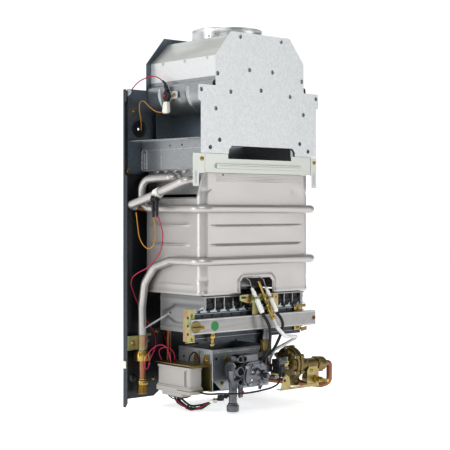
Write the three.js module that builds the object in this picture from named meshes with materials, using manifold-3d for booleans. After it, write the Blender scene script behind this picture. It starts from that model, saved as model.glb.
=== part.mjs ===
// Wall-hung instantaneous gas water heater, shown without its front casing.
// Millimetres, +Z up. X runs to the right, the wall is the plane Y = 0 and the heater stands out
// towards -Y. The origin is the middle of the back panel's rear face.
import * as THREE from "three";
import { mergeVertices } from "three/addons/utils/BufferGeometryUtils.js";
import Module from "manifold-3d";

const wasm = await Module();
wasm.setup();

// ---- driving dimensions -------------------------------------------------------------------------
const SHEET = 1.2;            // sheet-metal thickness
const GAP = 0.3;              // clearance left between touching pieces
const ROUND = 16;             // sides of a plain round
const FINE = 36;              // sides of a large round

const PANEL = { half: 168, bottom: -283, top: 283, rim: 9.2, flange: 20, flangeTop: 257 };
const PAN = { half: 150, bottom: -158, top: 122, corner: 22 };
const CABLE_HOLE = { x: -134, z: 211, radius: 14 };
const HOOD = { half: 107, bottom: 283, shoulder: 332, top: 372, topHalf: 67, front: -195, back: -11 };
const FLUE = { radius: 65, y: -103.5, top: 392.2 };
const SKIRT = { half: 128, bottom: 134.3, top: 188.2, front: -193, back: -11.2 };
const CHAMBER = {
  left: -127, right: 132, front: -183, back: -26, bottom: -87.7, top: 127, sideTop: 84, leftCorner: 16, rightCorner: 8,
};
const FINS = { half: 121, front: -176, back: -22, bottom: 90, top: 146, slots: 15, fin: 1.8, wall: 3 };
const PIPE = 7.3;             // radius of the water pipe
const PIPE_LEFT = CHAMBER.left - PIPE - 0.6;
const PIPE_RIGHT = CHAMBER.right + PIPE + 0.6;
const PIPE_Y = CHAMBER.front - PIPE - 0.6;
const UPPER_Z = 64;
const LOWER_Z = -28;
const HOT = { x: -140, y: -28 };
const BURNER = { half: 122, front: -180, back: -58, top: -89, bottom: -155 };
const INJECTORS = { count: 11, pitch: 21, z: -138 };
const BAR = { left: -167.5, right: 134, front: -201, back: -190, top: -125, bottom: -151 };
const RISER = { x: 12, y: -195.5 };
const ROD = { y: -198.5, z: -218.5 };
const SPINDLE = { x: -9.5, z: -231.5 };
const WATER_SPINDLE = { x: 123, z: -250.5 };
const TRAY = { left: -80, right: 58, front: -154, back: -60, bottom: -262, top: -187 };

// ---- solids ---------------------------------------------------------------------------------------
function solid(geometry) {
  const bare = geometry.index ? geometry.toNonIndexed() : geometry.clone();
  bare.deleteAttribute("normal");
  bare.deleteAttribute("uv");
  const merged = mergeVertices(bare, 1e-4);
  return new wasm.Manifold(new wasm.Mesh({
    numProp: 3,
    vertProperties: new Float32Array(merged.attributes.position.array),
    triVerts: new Uint32Array(merged.index.array),
  }));
}

function join(...pieces) {
  return pieces.reduce((whole, piece) => whole.add(piece));
}

function cut(body, ...tools) {
  return tools.reduce((rest, tool) => rest.subtract(tool), body);
}

function box(x0, x1, y0, y1, z0, z1) {
  const geometry = new THREE.BoxGeometry(x1 - x0, y1 - y0, z1 - z0);
  geometry.translate((x0 + x1) / 2, (y0 + y1) / 2, (z0 + z1) / 2);
  return solid(geometry);
}

// A round bar along one axis; u and v are its centre on the other two axes, in x, y, z order.
function rod(axis, u, v, from, to, radius, sides = ROUND, endRadius = radius) {
  const geometry = new THREE.CylinderGeometry(endRadius, radius, to - from, sides);
  geometry.translate(0, (from + to) / 2, 0);
  if (axis === "x") {
    geometry.rotateZ(-Math.PI / 2);
    geometry.translate(0, u, v);
  } else if (axis === "y") {
    geometry.translate(u, 0, v);
  } else {
    geometry.rotateX(Math.PI / 2);
    geometry.translate(u, v, 0);
  }
  return solid(geometry);
}

// A round bar between any two points.
function strut(from, to, radius, sides = 12) {
  const start = new THREE.Vector3(...from);
  const along = new THREE.Vector3(...to).sub(start);
  const geometry = new THREE.CylinderGeometry(radius, radius, along.length(), sides);
  geometry.translate(0, along.length() / 2, 0);
  const up = new THREE.Vector3(0, 1, 0);
  const turn = new THREE.Quaternion().setFromUnitVectors(up, along.clone().normalize());
  geometry.applyQuaternion(turn);
  geometry.translate(start.x, start.y, start.z);
  return solid(geometry);
}

function outline(points) {
  return new THREE.Shape(points.map(([a, b]) => new THREE.Vector2(a, b)));
}

function prism(axis, points, from, to) {
  const geometry = new THREE.ExtrudeGeometry(outline(points), { depth: to - from, bevelEnabled: false });
  geometry.translate(0, 0, from);
  const turn = new THREE.Matrix4();
  if (axis === "x") {           // outline in Y, Z
    turn.makeBasis(new THREE.Vector3(0, 1, 0), new THREE.Vector3(0, 0, 1), new THREE.Vector3(1, 0, 0));
  } else if (axis === "y") {    // outline in X, Z, mirrored so that the faces still point out
    geometry.scale(-1, 1, 1);
    flipFaces(geometry);
    turn.makeBasis(new THREE.Vector3(-1, 0, 0), new THREE.Vector3(0, 0, 1), new THREE.Vector3(0, 1, 0));
  }
  geometry.applyMatrix4(turn);
  return solid(geometry);
}

function flipFaces(geometry) {
  const position = geometry.attributes.position;
  for (let i = 0; i < position.count; i += 3) {
    const keep = new THREE.Vector3().fromBufferAttribute(position, i + 1);
    const last = new THREE.Vector3().fromBufferAttribute(position, i + 2);
    position.setXYZ(i + 1, last.x, last.y, last.z);
    position.setXYZ(i + 2, keep.x, keep.y, keep.z);
  }
}

function roundedRectangle(a0, a1, b0, b1, radius, steps = 5) {
  const points = [];
  const corners = [[a1, b1, 0], [a0, b1, 1], [a0, b0, 2], [a1, b0, 3]];
  for (const [a, b, quarter] of corners) {
    const centreA = a === a1 ? a - radius : a + radius;
    const centreB = b === b1 ? b - radius : b + radius;
    for (let step = 0; step <= steps; step += 1) {
      const angle = (quarter + step / steps) * Math.PI / 2;
      points.push([centreA + radius * Math.cos(angle), centreB + radius * Math.sin(angle)]);
    }
  }
  return points;
}

function arcPoints(a, b, radius, fromDegrees, toDegrees, steps) {
  const points = [];
  for (let step = 0; step <= steps; step += 1) {
    const angle = THREE.MathUtils.degToRad(fromDegrees + (toDegrees - fromDegrees) * step / steps);
    points.push([a + radius * Math.cos(angle), b + radius * Math.sin(angle)]);
  }
  return points;
}

function mirrored(points, side) {
  return points.map(([a, b]) => [a * side, b]);
}

// Straight runs joined by bends: every station of the route is kept as a ring of the tube. A corner's
// fourth number, where it has one, is its own bend radius.
class BentRoute extends THREE.Curve {
  constructor(points, bend, steps = 4) {
    super();
    const corners = points.map(([x, y, z]) => new THREE.Vector3(x, y, z));
    this.stations = [corners[0]];
    for (let i = 1; i < corners.length - 1; i += 1) {
      const into = corners[i].clone().sub(corners[i - 1]);
      const out = corners[i + 1].clone().sub(corners[i]);
      const angle = into.angleTo(out);
      const radius = points[i][3] ?? bend;
      const reach = Math.min(radius * Math.tan(angle / 2), into.length() * 0.49, out.length() * 0.49);
      const start = corners[i].clone().addScaledVector(into.normalize(), -reach);
      const end = corners[i].clone().addScaledVector(out.normalize(), reach);
      const control = (4 / 3) * Math.tan(angle / 4) / Math.tan(angle / 2) * reach;
      const first = start.clone().addScaledVector(into, control);
      const second = end.clone().addScaledVector(out, -control);
      const arc = new THREE.CubicBezierCurve3(start, first, second, end);
      this.stations.push(...arc.getPoints(steps));
    }
    this.stations.push(corners[corners.length - 1]);
  }

  getSpacedPoints() {
    return this.stations;
  }

  getPoint(t) {
    return this.stations[Math.round(t * (this.stations.length - 1))];
  }

  getTangentAt(t) {
    const last = this.stations.length - 1;
    const here = Math.round(t * last);
    const before = this.stations[Math.max(here - 1, 0)];
    const after = this.stations[Math.min(here + 1, last)];
    return after.clone().sub(before).normalize();
  }
}

function circle(radius, sides) {
  return outline(arcPoints(0, 0, radius, 0, 360 - 360 / sides, sides - 1));
}

function pipe(points, radius, bend, sides = 10) {
  const route = new BentRoute(points, bend);
  const options = { steps: route.stations.length - 1, extrudePath: route };
  return solid(new THREE.ExtrudeGeometry(circle(radius, sides), options));
}

// A free lead: a smooth curve through hand-placed points.
function lead(points, radius) {
  const stations = points.map((point) => new THREE.Vector3(...point));
  const route = new THREE.CatmullRomCurve3(stations, false, "centripetal");
  const steps = Math.min(60, Math.ceil(route.getLength() / (5.5 * radius)));
  return solid(new THREE.ExtrudeGeometry(circle(radius, 8), { steps, extrudePath: route }));
}

function hexagon(a, b, acrossFlats) {
  return arcPoints(a, b, acrossFlats / Math.sqrt(3), 0, 300, 5);
}

// ---- the model ------------------------------------------------------------------------------------
const heater = new THREE.Group();
heater.name = "gas_water_heater";

const GALVANISED = { color: 0xdde1e3, roughness: 0.45, metalness: 0.8 };
const DARK_SHEET = { color: 0x5c636a, roughness: 0.5, metalness: 0.7 };
const SILVER = { color: 0xd2cfcb, roughness: 0.55, metalness: 0.25 };
const CREAM = { color: 0xf2f2ea, roughness: 0.5, metalness: 0.2 };
const BRASS = { color: 0xb08d3c, roughness: 0.35, metalness: 0.9 };
const DARK_BRASS = { color: 0x6e5a2a, roughness: 0.45, metalness: 0.85 };
const ZINC = { color: 0xb9b083, roughness: 0.35, metalness: 0.85 };
const ALUMINIUM = { color: 0xc8c5c3, roughness: 0.4, metalness: 0.8 };
const DIE_CAST = { color: 0x6f7074, roughness: 0.5, metalness: 0.7 };
const COPPER = { color: 0x8a5a42, roughness: 0.4, metalness: 0.9 };
const BLACK = { color: 0x141516, roughness: 0.6, metalness: 0.0 };
const CERAMIC = { color: 0xf0eee8, roughness: 0.35, metalness: 0.0 };
const GREY_PLASTIC = { color: 0xb4b0aa, roughness: 0.55, metalness: 0.0 };
const RED = { color: 0xa02040, roughness: 0.5, metalness: 0.0 };
const ORANGE = { color: 0xb5822f, roughness: 0.5, metalness: 0.0 };

function add(name, body, finish) {
  const mesh = body.getMesh();
  const geometry = new THREE.BufferGeometry();
  geometry.setAttribute("position", new THREE.BufferAttribute(new Float32Array(mesh.vertProperties), 3));
  geometry.setIndex(new THREE.BufferAttribute(new Uint32Array(mesh.triVerts), 1));
  geometry.computeVertexNormals();
  const part = new THREE.Mesh(geometry, new THREE.MeshStandardMaterial(finish));
  part.name = name;
  heater.add(part);
}

// ---- frame and hood -------------------------------------------------------------------------------
function backPanel() {
  const { half, bottom, top, rim, flange, flangeTop } = PANEL;
  const edge = [
    [-half, bottom], [-99, bottom], [-84, bottom + 10], [84, bottom + 10], [99, bottom], [half, bottom],
    [half, flangeTop], [158, top], [-158, top], [-half, flangeTop],
  ];
  const face = prism("y", edge, -rim, -rim + SHEET);
  const pan = roundedRectangle(-PAN.half, PAN.half, PAN.bottom, PAN.top, PAN.corner);
  const inner = roundedRectangle(
    -PAN.half + SHEET, PAN.half - SHEET, PAN.bottom + SHEET, PAN.top - SHEET, PAN.corner - SHEET);
  const dish = cut(prism("y", pan, -rim, 0), prism("y", inner, -rim - 1, -SHEET));
  const side = [
    [-rim + SHEET, bottom - 14], [-rim + SHEET, top - 1], [-14, top - 1], [-18, 276], [-18, 262],
    [-13, flangeTop], [-13, 128], [-flange, 124], [-flange, bottom - 6], [-14, bottom - 14],
  ];
  const sides = [-half, half - SHEET].map((x) => prism("x", side, x, x + SHEET));
  const open = cut(face, prism("y", inner, -rim - 1, 1));
  const hole = rod("y", CABLE_HOLE.x, CABLE_HOLE.z, -rim - 1, 1, CABLE_HOLE.radius);
  return cut(join(open, dish, ...sides), hole);
}

function hoodBackPlate() {
  const half = [[75, 383], [117, HOOD.shoulder], [117, 283], [160, 283], [160, 128]];
  const edge = [...half, ...mirrored(half, -1).reverse()];
  const hole = rod("y", CABLE_HOLE.x, CABLE_HOLE.z, -20, 0, CABLE_HOLE.radius);
  return cut(prism("y", edge, -10.7, -9.5), hole);
}

function hoodFrontPlate() {
  const right = [
    [71.4, 376.6], [107.6, 332], [107.6, 278.8], [146, 278.8], [146, 252], [140.5, 250], [140.5, 160.7],
  ];
  const notch = [[85, 160.7], [85, 168], [78, 175], [-70, 175], [-77, 168], [-77, 160.7]];
  const edge = [...right, ...notch, ...mirrored(right, -1).reverse()];
  return prism("y", edge, HOOD.front - SHEET, HOOD.front);
}

function hoodWrap() {
  const { half, bottom, shoulder, top, topHalf } = HOOD;
  const left = [[-half, bottom], [-half, shoulder], [-topHalf, top]];
  const outer = [...left, ...mirrored(left, -1).reverse()];
  const inner = [
    [half - SHEET, bottom], [half - SHEET, shoulder - 0.5], [topHalf - 0.5, top - SHEET],
    [-topHalf + 0.5, top - SHEET], [-half + SHEET, shoulder - 0.5], [-half + SHEET, bottom],
  ];
  const sheet = prism("y", [...outer, ...inner], HOOD.front + GAP, HOOD.back);
  return cut(sheet, rod("z", 0, FLUE.y, top - 10, top + 10, FLUE.radius - 3, FINE));
}

function flueCollar() {
  const { radius, top } = FLUE;
  const foot = HOOD.top + GAP;
  const profile = [
    [radius - SHEET, foot], [radius, foot], [radius, top - 3.6], [radius + 1.4, top - 3],
    [radius + 1.4, top], [radius - SHEET, top], [radius - SHEET, foot],
  ];
  const points = profile.map(([r, z]) => new THREE.Vector2(r, z));
  const collar = new THREE.LatheGeometry(points, FINE);
  collar.rotateX(Math.PI / 2);
  collar.translate(0, FLUE.y, 0);
  return solid(collar);
}

// A barrel-shaped baffle under each side of the hood, with two pressed ribs round it.
function deflector(side) {
  const centre = [-73, 277];
  const radius = 42;
  const lip = -HOOD.half - GAP;
  const outer = arcPoints(...centre, radius, 168, 268, 12);
  const inner = arcPoints(...centre, radius - SHEET, 268, 168, 12);
  const sheet = [[lip - SHEET, 296], ...outer, ...inner, [lip, 292], [lip, 296]];
  const crest = arcPoints(...centre, radius + 2.2, 176, 262, 10);
  const rib = [...crest, ...arcPoints(...centre, radius - 0.6, 262, 176, 10)];
  const ribs = [[-47, -42], [-128, -123]].map(([from, to]) => prism("y", mirrored(rib, -side), from, to));
  return join(prism("y", mirrored(sheet, -side), HOOD.front + GAP, HOOD.back), ...ribs);
}

function exchangerSkirt() {
  const { half, bottom, top, front, back } = SKIRT;
  const walls = box(-half, half, front, back, bottom, top);
  const flange = prism("z", [[-159, back], [-140, front], [140, front], [159, back]], top - SHEET, top);
  const inside = box(-half + SHEET, half - SHEET, front + SHEET, back - SHEET, bottom - 1, top + 1);
  const frontWindow = box(-77, 77, front - 1, front + 2, 150, top + 1);
  return cut(join(walls, flange), inside, frontWindow);
}

const STRIP_Y = SKIRT.front - GAP - SHEET;

function frontCrossStrip() {
  const edge = [
    [-130, 127], [127, 127], [127, 160], [77, 160], [77, 152], [-77, 152], [-77, 160], [-130, 160],
  ];
  const rib = roundedRectangle(-108, 104, 136.5, 141.5, 2.4, 3);
  return join(prism("y", edge, STRIP_Y, STRIP_Y + SHEET), prism("y", rib, STRIP_Y - 1.2, STRIP_Y + 0.5));
}

// The left bracket is the wider one; outside, leg and slot are measured from the middle of the heater.
function stripBracket(side) {
  const { inside, outside, leg, slot } = side < 0
    ? { inside: 131, outside: 157, leg: 144, slot: 149 }
    : { inside: 128, outside: 143, leg: 131.5, slot: 135.5 };
  const edge = [[inside, 126], [inside, 160], [outside, 160], [outside, 103], [leg, 103], [leg, 126]];
  const hole = roundedRectangle(slot, slot + 3, 108, 130, 1.4, 3);
  const plate = prism("y", mirrored(edge, side), STRIP_Y, STRIP_Y + SHEET);
  return cut(plate, prism("y", mirrored(hole, side), STRIP_Y - 1, STRIP_Y + 2));
}

// ---- heat exchanger and combustion chamber ---------------------------------------------------------
function finBlock() {
  const { half, front, back, bottom, top, slots, fin, wall } = FINS;
  const pitch = (2 * half - 2 * wall + fin) / slots;
  const gaps = [];
  for (let i = 0; i < slots; i += 1) {
    const x = -half + wall + pitch * i;
    gaps.push(box(x, x + pitch - fin, front + wall, back - wall, bottom - 1, top + 1));
  }
  return cut(box(-half, half, front, back, bottom, top), ...gaps);
}

function chamberOutline(inset) {
  const { left, right, front, back, leftCorner, rightCorner } = CHAMBER;
  const corner = (x, y, radius, turn) => arcPoints(x, y, radius - inset, turn, turn + 90, 5);
  return [
    ...corner(left + leftCorner, front + leftCorner, leftCorner, 180),
    ...corner(right - rightCorner, front + rightCorner, rightCorner, 270),
    ...corner(right - leftCorner, back - leftCorner, leftCorner, 0),
    ...corner(left + leftCorner, back - leftCorner, leftCorner, 90),
  ];
}

function combustionChamber() {
  const { left, right, front, back, bottom, top, sideTop } = CHAMBER;
  const hollow = prism("z", chamberOutline(SHEET), bottom - 1, top + 1);
  const shell = cut(prism("z", chamberOutline(0), bottom, top), hollow);
  const aboveSides = box(left - 1, right + 1, front + 9, back + 1, sideTop, top + 1);
  const notch = [[-37, bottom - 1], [-37, -66], [-31, -60], [34, -60], [40, -66], [40, bottom - 1]];
  return cut(shell, aboveSides, prism("y", notch, front - 1, front + 5));
}

function coilUpperTurn() {
  return pipe([
    [-FINS.half - GAP, -108, 119.5], [PIPE_LEFT, -108, 119.5], [PIPE_LEFT - 2, -72, 119.5], [-143, -31, 117],
    [-143, -31, UPPER_Z + 2], [PIPE_LEFT - 1, -80, UPPER_Z], [PIPE_LEFT, PIPE_Y, UPPER_Z],
    [PIPE_RIGHT, PIPE_Y, UPPER_Z, 16], [PIPE_RIGHT, -20, UPPER_Z], [PIPE_RIGHT, -20, 18 + GAP],
  ], PIPE, 24);
}

function coilLowerTurn() {
  return pipe([
    [PIPE_RIGHT, -20, 18], [PIPE_RIGHT, -20, LOWER_Z], [PIPE_RIGHT, PIPE_Y, LOWER_Z, 16],
    [PIPE_LEFT, PIPE_Y, LOWER_Z], [PIPE_LEFT - 0.7, -104, LOWER_Z], [PIPE_LEFT - 2.5, -60, LOWER_Z - 13],
    [PIPE_LEFT - 4.4, -35, LOWER_Z - 42], [HOT.x, HOT.y, -112], [HOT.x, HOT.y, -193.7],
  ], PIPE, 24);
}

function coldFeedPipe() {
  return pipe([
    [-FINS.half - GAP, -160, 114], [-147, -160, 114], [-155, -80, 88], [-160, -17.3, 71], [-147, -17.3, 68],
  ], PIPE, 22);
}

function copperPipe() {
  return pipe([
    [-146.5, -17, 68], [-70, -16, 50], [-70, -16, -225], [-66, -40, -256], [84, -40, -259],
    [107, -98, -262], [158, -192, -267], [172, -200, -262], [172, -200, -226], [160.5, -200, -225.5],
  ], 5.5, 11, 8);
}

function pipeClamp() {
  const { x, y } = HOT;
  const band = [
    [-172, y], [-172, y + SHEET], [x - 7.9, y + SHEET], ...arcPoints(x, y, 8, 180, 360, 10), [x + 8, -9.5],
    [-106, -9.5], [-106, -10.7], [x + 9.2, -10.7], ...arcPoints(x, y, 9.2, 360, 180, 10),
  ];
  return prism("z", band, -192, -166);
}

function hotUnionNut() {
  const bore = rod("z", HOT.x, HOT.y, -220, -190, 6.4);
  return cut(prism("z", hexagon(HOT.x, HOT.y, 27), -213, -194), bore);
}

function hotOutletTail() {
  const { x, y } = HOT;
  const tail = join(
    rod("z", x, y, -252.5, -213.3, 6), rod("z", x, y, -273, -252, 10, 24),
    prism("z", hexagon(x, y, 19), -256, -251));
  return cut(tail, rod("z", x, y, -274, -216, 4.4, 16));
}

// ---- burner and gas --------------------------------------------------------------------------------
function burnerBox() {
  const { half, front, back, top, bottom } = BURNER;
  const inside = box(-half + SHEET, half - SHEET, front + SHEET, back - SHEET, bottom - 1, top + 1);
  const frontOpening = box(-half + 6, half - 6, front - 1, front + 2, -112, top + 1);
  const airHoles = injectorPlaces().map((x) => rod("y", x, INJECTORS.z, front - 1, front + 2, 7, 8));
  return cut(box(-half, half, front, back, bottom, top), inside, frontOpening, ...airHoles);
}

function injectorPlaces() {
  const middle = (INJECTORS.count - 1) / 2;
  return Array.from({ length: INJECTORS.count }, (unused, i) => (i - middle) * INJECTORS.pitch);
}

function burnerRack() {
  const base = box(-120.5, 120.5, -176, -62, -114, -110);
  const blades = injectorPlaces().map((x) => box(x - 5, x + 5, -175, -64, -111, -92));
  return join(base, ...blades);
}

function burnerChannel() {
  const left = -163;
  const right = 108;
  const teeth = 12;
  const pitch = (right - left) / teeth;
  const topEdge = [];
  for (let i = 0; i < teeth; i += 1) {
    const x = left + pitch * i;
    topEdge.push([x + 1, -113], [x + pitch * 0.55, -110], [x + pitch * 0.7, -113]);
  }
  const edge = [[left, -166], ...topEdge, [right, -113], [right, -166]];
  const face = prism("y", edge, -186.2, -185);
  const shelf = box(left, right, -186, -181, -115, -113.8);
  const holes = injectorPlaces().slice(0, -1).map((x) => rod("y", x, INJECTORS.z, -190, -180, 5.6, 8));
  return cut(join(face, shelf), ...holes);
}

const PLUG = { x: -155.5, z: -138, radius: 10.5 };

function manifoldBar() {
  const { left, right, front, back, top, bottom } = BAR;
  const middle = (front + back) / 2;
  const tips = injectorPlaces().slice(0, -1).map((x) => rod("y", x, INJECTORS.z, back - 1, -182.4, 4, 8));
  const bore = rod("x", middle, INJECTORS.z, PLUG.x, right - 12, 3.6, 12);
  const plugSeat = rod("y", PLUG.x, PLUG.z, front - 1, front + 5, PLUG.radius + GAP);
  const inlet = rod("z", RISER.x, middle, bottom - 1, INJECTORS.z, 3.6, 12);
  return cut(join(box(left, right, front, back, bottom, top), ...tips), bore, plugSeat, inlet);
}

function manifoldPlug() {
  const { x, z, radius } = PLUG;
  const slot = box(x - radius, x + radius, BAR.front - 3, BAR.front - 0.4, z - 1.2, z + 1.2);
  return cut(rod("y", x, z, BAR.front - 1.6, BAR.front + 4.6, radius), slot);
}

function manifoldBracketLeft() {
  const leg = box(-169.2, -168, -201, -182, -163, -109);
  const face = box(-169.2, -150, -189.6, -188.4, -166, -109);
  const holes = [-122, -136, -150].map((z) => rod("x", -195, z, -175, -165, 2.6, 12));
  return cut(join(leg, face), ...holes);
}

function manifoldBracketRight() {
  const face = box(89.5, 108, -189.6, -188.4, -160, -114);
  const foot = box(89.5, 108, -189.6, -186.5, -116, -114);
  return join(face, foot);
}

function testNipple() {
  const x = -115;
  return cut(
    join(rod("z", x, RISER.y, -174, -151.3, 4, 12), prism("z", hexagon(x, RISER.y, 11), -160, -153)),
    rod("z", x, RISER.y, -175, -155, 1.6, 8));
}

function gasRiser() {
  const { x, y } = RISER;
  const body = join(
    rod("z", x, y, -214, -190, 5), prism("z", hexagon(x, y, 17), -192, -171),
    rod("z", x, y, -172, -151.3, 7.5));
  return cut(body, rod("z", x, y, -215, -150, 3.4, 12));
}

function trayOfValves() {
  const { left, right, front, back, bottom, top } = TRAY;
  const inside = box(left + SHEET, right - SHEET, front + SHEET, back - SHEET, bottom + SHEET, top + 1);
  const notch = [[left - 1, bottom - 1], [left + 24, bottom - 1], [left + 6, bottom + 16], [left - 1, -242]];
  const corner = prism("y", notch, front - 1, front + 3);
  return cut(box(left, right, front, back, bottom, top), inside, corner);
}

function gasValveBody() {
  const body = join(
    box(-52, -3, -205.7, -165, -248, -208),
    rod("x", -184, -222, -63, -50, 17, 24),
    prism("y", roundedRectangle(-61, -14, -206, -193, 5, 3), -200, -184),
    box(-50, -20, -196, -170, -210, -204),
    box(-40, -18, -166, TRAY.front - GAP, -240, -214),
    box(-4, 20, -205, -186, -229, -214.3),
    rod("z", -57, -184, -285, -222, PIPE),
    prism("z", hexagon(-57, -184, 20), -295, -283),
    rod("z", -44, -190, -270, -246, 4.5, 14));
  return cut(
    body,
    rod("z", -57, -184, -296, -230, 5, 16),
    rod("y", SPINDLE.x, SPINDLE.z, -207, -178, 5.4, 16),
    rod("x", ROD.y, ROD.z, -16, 21, 3.4, 12),
    rod("z", RISER.x, RISER.y, -222, -213, 3.4, 12));
}

function gasValveCover() {
  const front = -212;
  const plate = prism("y", roundedRectangle(-54.5, -0.5, -250, -206.5, 6, 3), front, -206);
  const dome = rod("y", -26, -230, front - 5, front + 1, 9, 20, 13);
  const neck = rod("y", SPINDLE.x, SPINDLE.z, front - 6, front + 1, 8);
  return cut(join(plate, dome, neck), rod("y", SPINDLE.x, SPINDLE.z, -220, -205, 5.4, 16));
}

function gasSpindle() {
  const { x, z } = SPINDLE;
  const shaft = join(rod("y", x, z, -226, -180, 4.9, 16), rod("y", x, z, -246, -225, 4.2, 16));
  return cut(shaft, box(x - 6, x + 6, -247, -233, z + 2.4, z + 6));
}

function pushRod() {
  return join(rod("x", ROD.y, ROD.z, -8, 57, 2.6, 12), rod("x", ROD.y, ROD.z, 44, 46.5, 8, 16));
}

// ---- water valve -----------------------------------------------------------------------------------
const DIAPHRAGM = { radius: 30, x: 68 };

function boltLugs(from, to) {
  const lugs = [];
  for (let i = 0; i < 6; i += 1) {
    const angle = (i + 0.5) * Math.PI / 3;
    lugs.push(rod("x", ROD.y + 28 * Math.cos(angle), ROD.z + 28 * Math.sin(angle), from, to, 4.4, 8));
  }
  return lugs;
}

function waterValveCover() {
  const { radius, x } = DIAPHRAGM;
  const body = join(
    rod("x", ROD.y, ROD.z, x - 6, x - GAP, radius, 24), rod("x", ROD.y, ROD.z, x - 13, x - 5, 21, 20, 27),
    rod("x", ROD.y, ROD.z, 48.5, x - 12, 9.5), ...boltLugs(x - 9, x - GAP));
  const chamber = rod("x", ROD.y, ROD.z, x - 5, x, 21, 16);
  return cut(body, chamber, rod("x", ROD.y, ROD.z, 47, x - 3, 3.4, 12));
}

function diaphragm() {
  return rod("x", ROD.y, ROD.z, DIAPHRAGM.x, DIAPHRAGM.x + 2, 25, 24);
}

function waterValveBody() {
  const { radius, x } = DIAPHRAGM;
  const seat = x + 2 + GAP;
  const body = join(
    rod("x", ROD.y, ROD.z, seat, seat + 6, radius, 24),
    rod("x", ROD.y, ROD.z, seat + 5, seat + 18, 26, 20, 17),
    rod("x", -198, -225.5, seat + 10, 133, 12), rod("x", -198, -225.5, 130, 143, 9.6),
    rod("y", WATER_SPINDLE.x, WATER_SPINDLE.z, -210.5, -184, 8), box(115, 131, -204, -190, -248, -228),
    rod("z", 92, -186, -262, -226, 10), rod("y", 82, -225, -214, -195, 9, 16), ...boltLugs(seat, seat + 9));
  return cut(
    body,
    rod("x", ROD.y, ROD.z, seat - 1, seat + 4, 21, 16),
    rod("x", -198, -225.5, seat + 2, 144, 6, 12),
    rod("z", 92, -186, -263, -230, 6.5, 16),
    rod("y", WATER_SPINDLE.x, WATER_SPINDLE.z, -211, -190, 4.4, 12));
}

function coldUnionNut() {
  const nut = prism("x", hexagon(-198, -225.5, 27), 133.5, 160);
  return cut(nut, rod("x", -198, -225.5, 132, 157, 12.4), rod("x", -198, -225.5, 150, 161, 5.8));
}

function waterSpindle() {
  const { x, z } = WATER_SPINDLE;
  return join(
    rod("y", x, z, -214, -192, 3.9, 12), prism("y", hexagon(x, z, 13), -217, -212.6),
    rod("y", x, z, -228, -216, 5.2, 16), rod("y", x, z, -244, -227, 3.8, 16));
}

function waterValveBracket() {
  const ear = [[101, -264], [101, -234], [106, -227], [126, -227], [131, -234], [131, -264]];
  const front = prism("y", ear, -212.3, -211);
  const foot = box(34, 131, -212.3, -200, -264, -262.6);
  const hole = rod("y", WATER_SPINDLE.x, WATER_SPINDLE.z, -214, -209, 4.5, 12);
  return cut(join(front, foot), hole);
}

// ---- switch, pilot and electrodes --------------------------------------------------------------------
function microswitch() {
  const body = join(box(20.6, 40, -221, -204, -232, -206), box(23, 36, -224, -220, -228, -212));
  return cut(body, rod("x", -207, ROD.z, 33, 41, 1.9, 10));
}

function microswitchPlunger() {
  return rod("x", -207, ROD.z, 38, 43.6, 1.5, 10);
}

function pilotBurner() {
  return join(
    strut([-4, -193, -66], [2.4, -203.5, -96], 3), strut([2.2, -203, -95], [5.5, -208.6, -110], 4.2),
    strut([5.2, -208, -108.6], [8.9, -214.4, -125.6], 5.4));
}

function electrode(x) {
  return join(
    strut([x - 1.5, -190.5, -64], [x, -194.5, -78], 1, 6),
    strut([x, -194, -77], [x + 2.4, -201, -91], 2.7, 10),
    strut([x + 2.2, -200.5, -90], [x + 8.5, -213, -121], 3.8, 10));
}

function pilotBracket() {
  const plateY = -193.4;
  const edge = [
    [-50, -98], [-50, -89], [44, -89], [44, -124], [36, -124], [36, -101], [-6, -101], [-6, -104],
    [-30, -104],
  ];
  const plate = prism("y", edge, plateY, plateY + SHEET);
  const shelf = box(-19, -8, plateY, plateY + SHEET, -124, -103);
  return join(plate, shelf);
}

function pilotTube() {
  return pipe([
    [9.2, -215, -127], [17, -221, -149], [36, -221, -165], [74, -213, -169], [72, -206, -174],
    [34, -194, -192], [27.5, -189.5, -208], [27.5, -189.5, -218], [20.4, -189.5, -218],
  ], 2.7, 8, 8);
}

function ignitionLead() {
  return lead([
    [-12.4, -213.6, -122.6], [-8.5, -219, -133], [-2.5, -221, -147], [-0.5, -220, -170], [-2.5, -216, -190],
    [-6, -209, -200], [-8, -201, -205],
  ], 2.7);
}

function flameLead() {
  return lead([
    [21.8, -213.6, -122.6], [27.5, -218.5, -132], [32, -219, -144], [33.5, -213, -160], [28, -210, -175],
    [15, -211.5, -189], [2, -212, -197], [-1.5, -206, -205],
  ], 2.7);
}

// ---- igniter box and sensors -------------------------------------------------------------------------
function igniterBox() {
  const upper = box(-120, -92, -141, -49, -254, -219);
  const lid = box(-123, -90, -144, -46, -265, -252);
  const terminals = box(-112, -97, -112, -72, -273, -264);
  return join(upper, lid, terminals);
}

function igniterBracket() {
  const side = box(-81.6, -80.4, -152, -46, -258, -213);
  const roof = box(-123, -80.4, -146, -43, -214.2, -213);
  const ears = [[-120, -106], [-147, -133]].map(([from, to]) => box(-81.6, -80.4, from, to, -214, -196));
  const hanger = box(-110, -100, -130, -60, -218.7, -213.5);
  return join(side, roof, hanger, ...ears);
}

function spillThermostat() {
  const plate = box(-117.6, -116.4, -100, -66, 262, 276);
  const can = rod("x", -76, 268, -124, -117, 8.5);
  const blades = join(box(-121.5, -120.5, -79, -73, 250, 286), box(-123.4, -117, -80, -72, 259, 277));
  return cut(join(plate, can, blades), rod("x", -76, 268, -125, -120.4, 2.9, 12));
}

function resetButton() {
  return rod("x", -76, 268, -127.5, -122.3, 2.5, 12);
}

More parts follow.
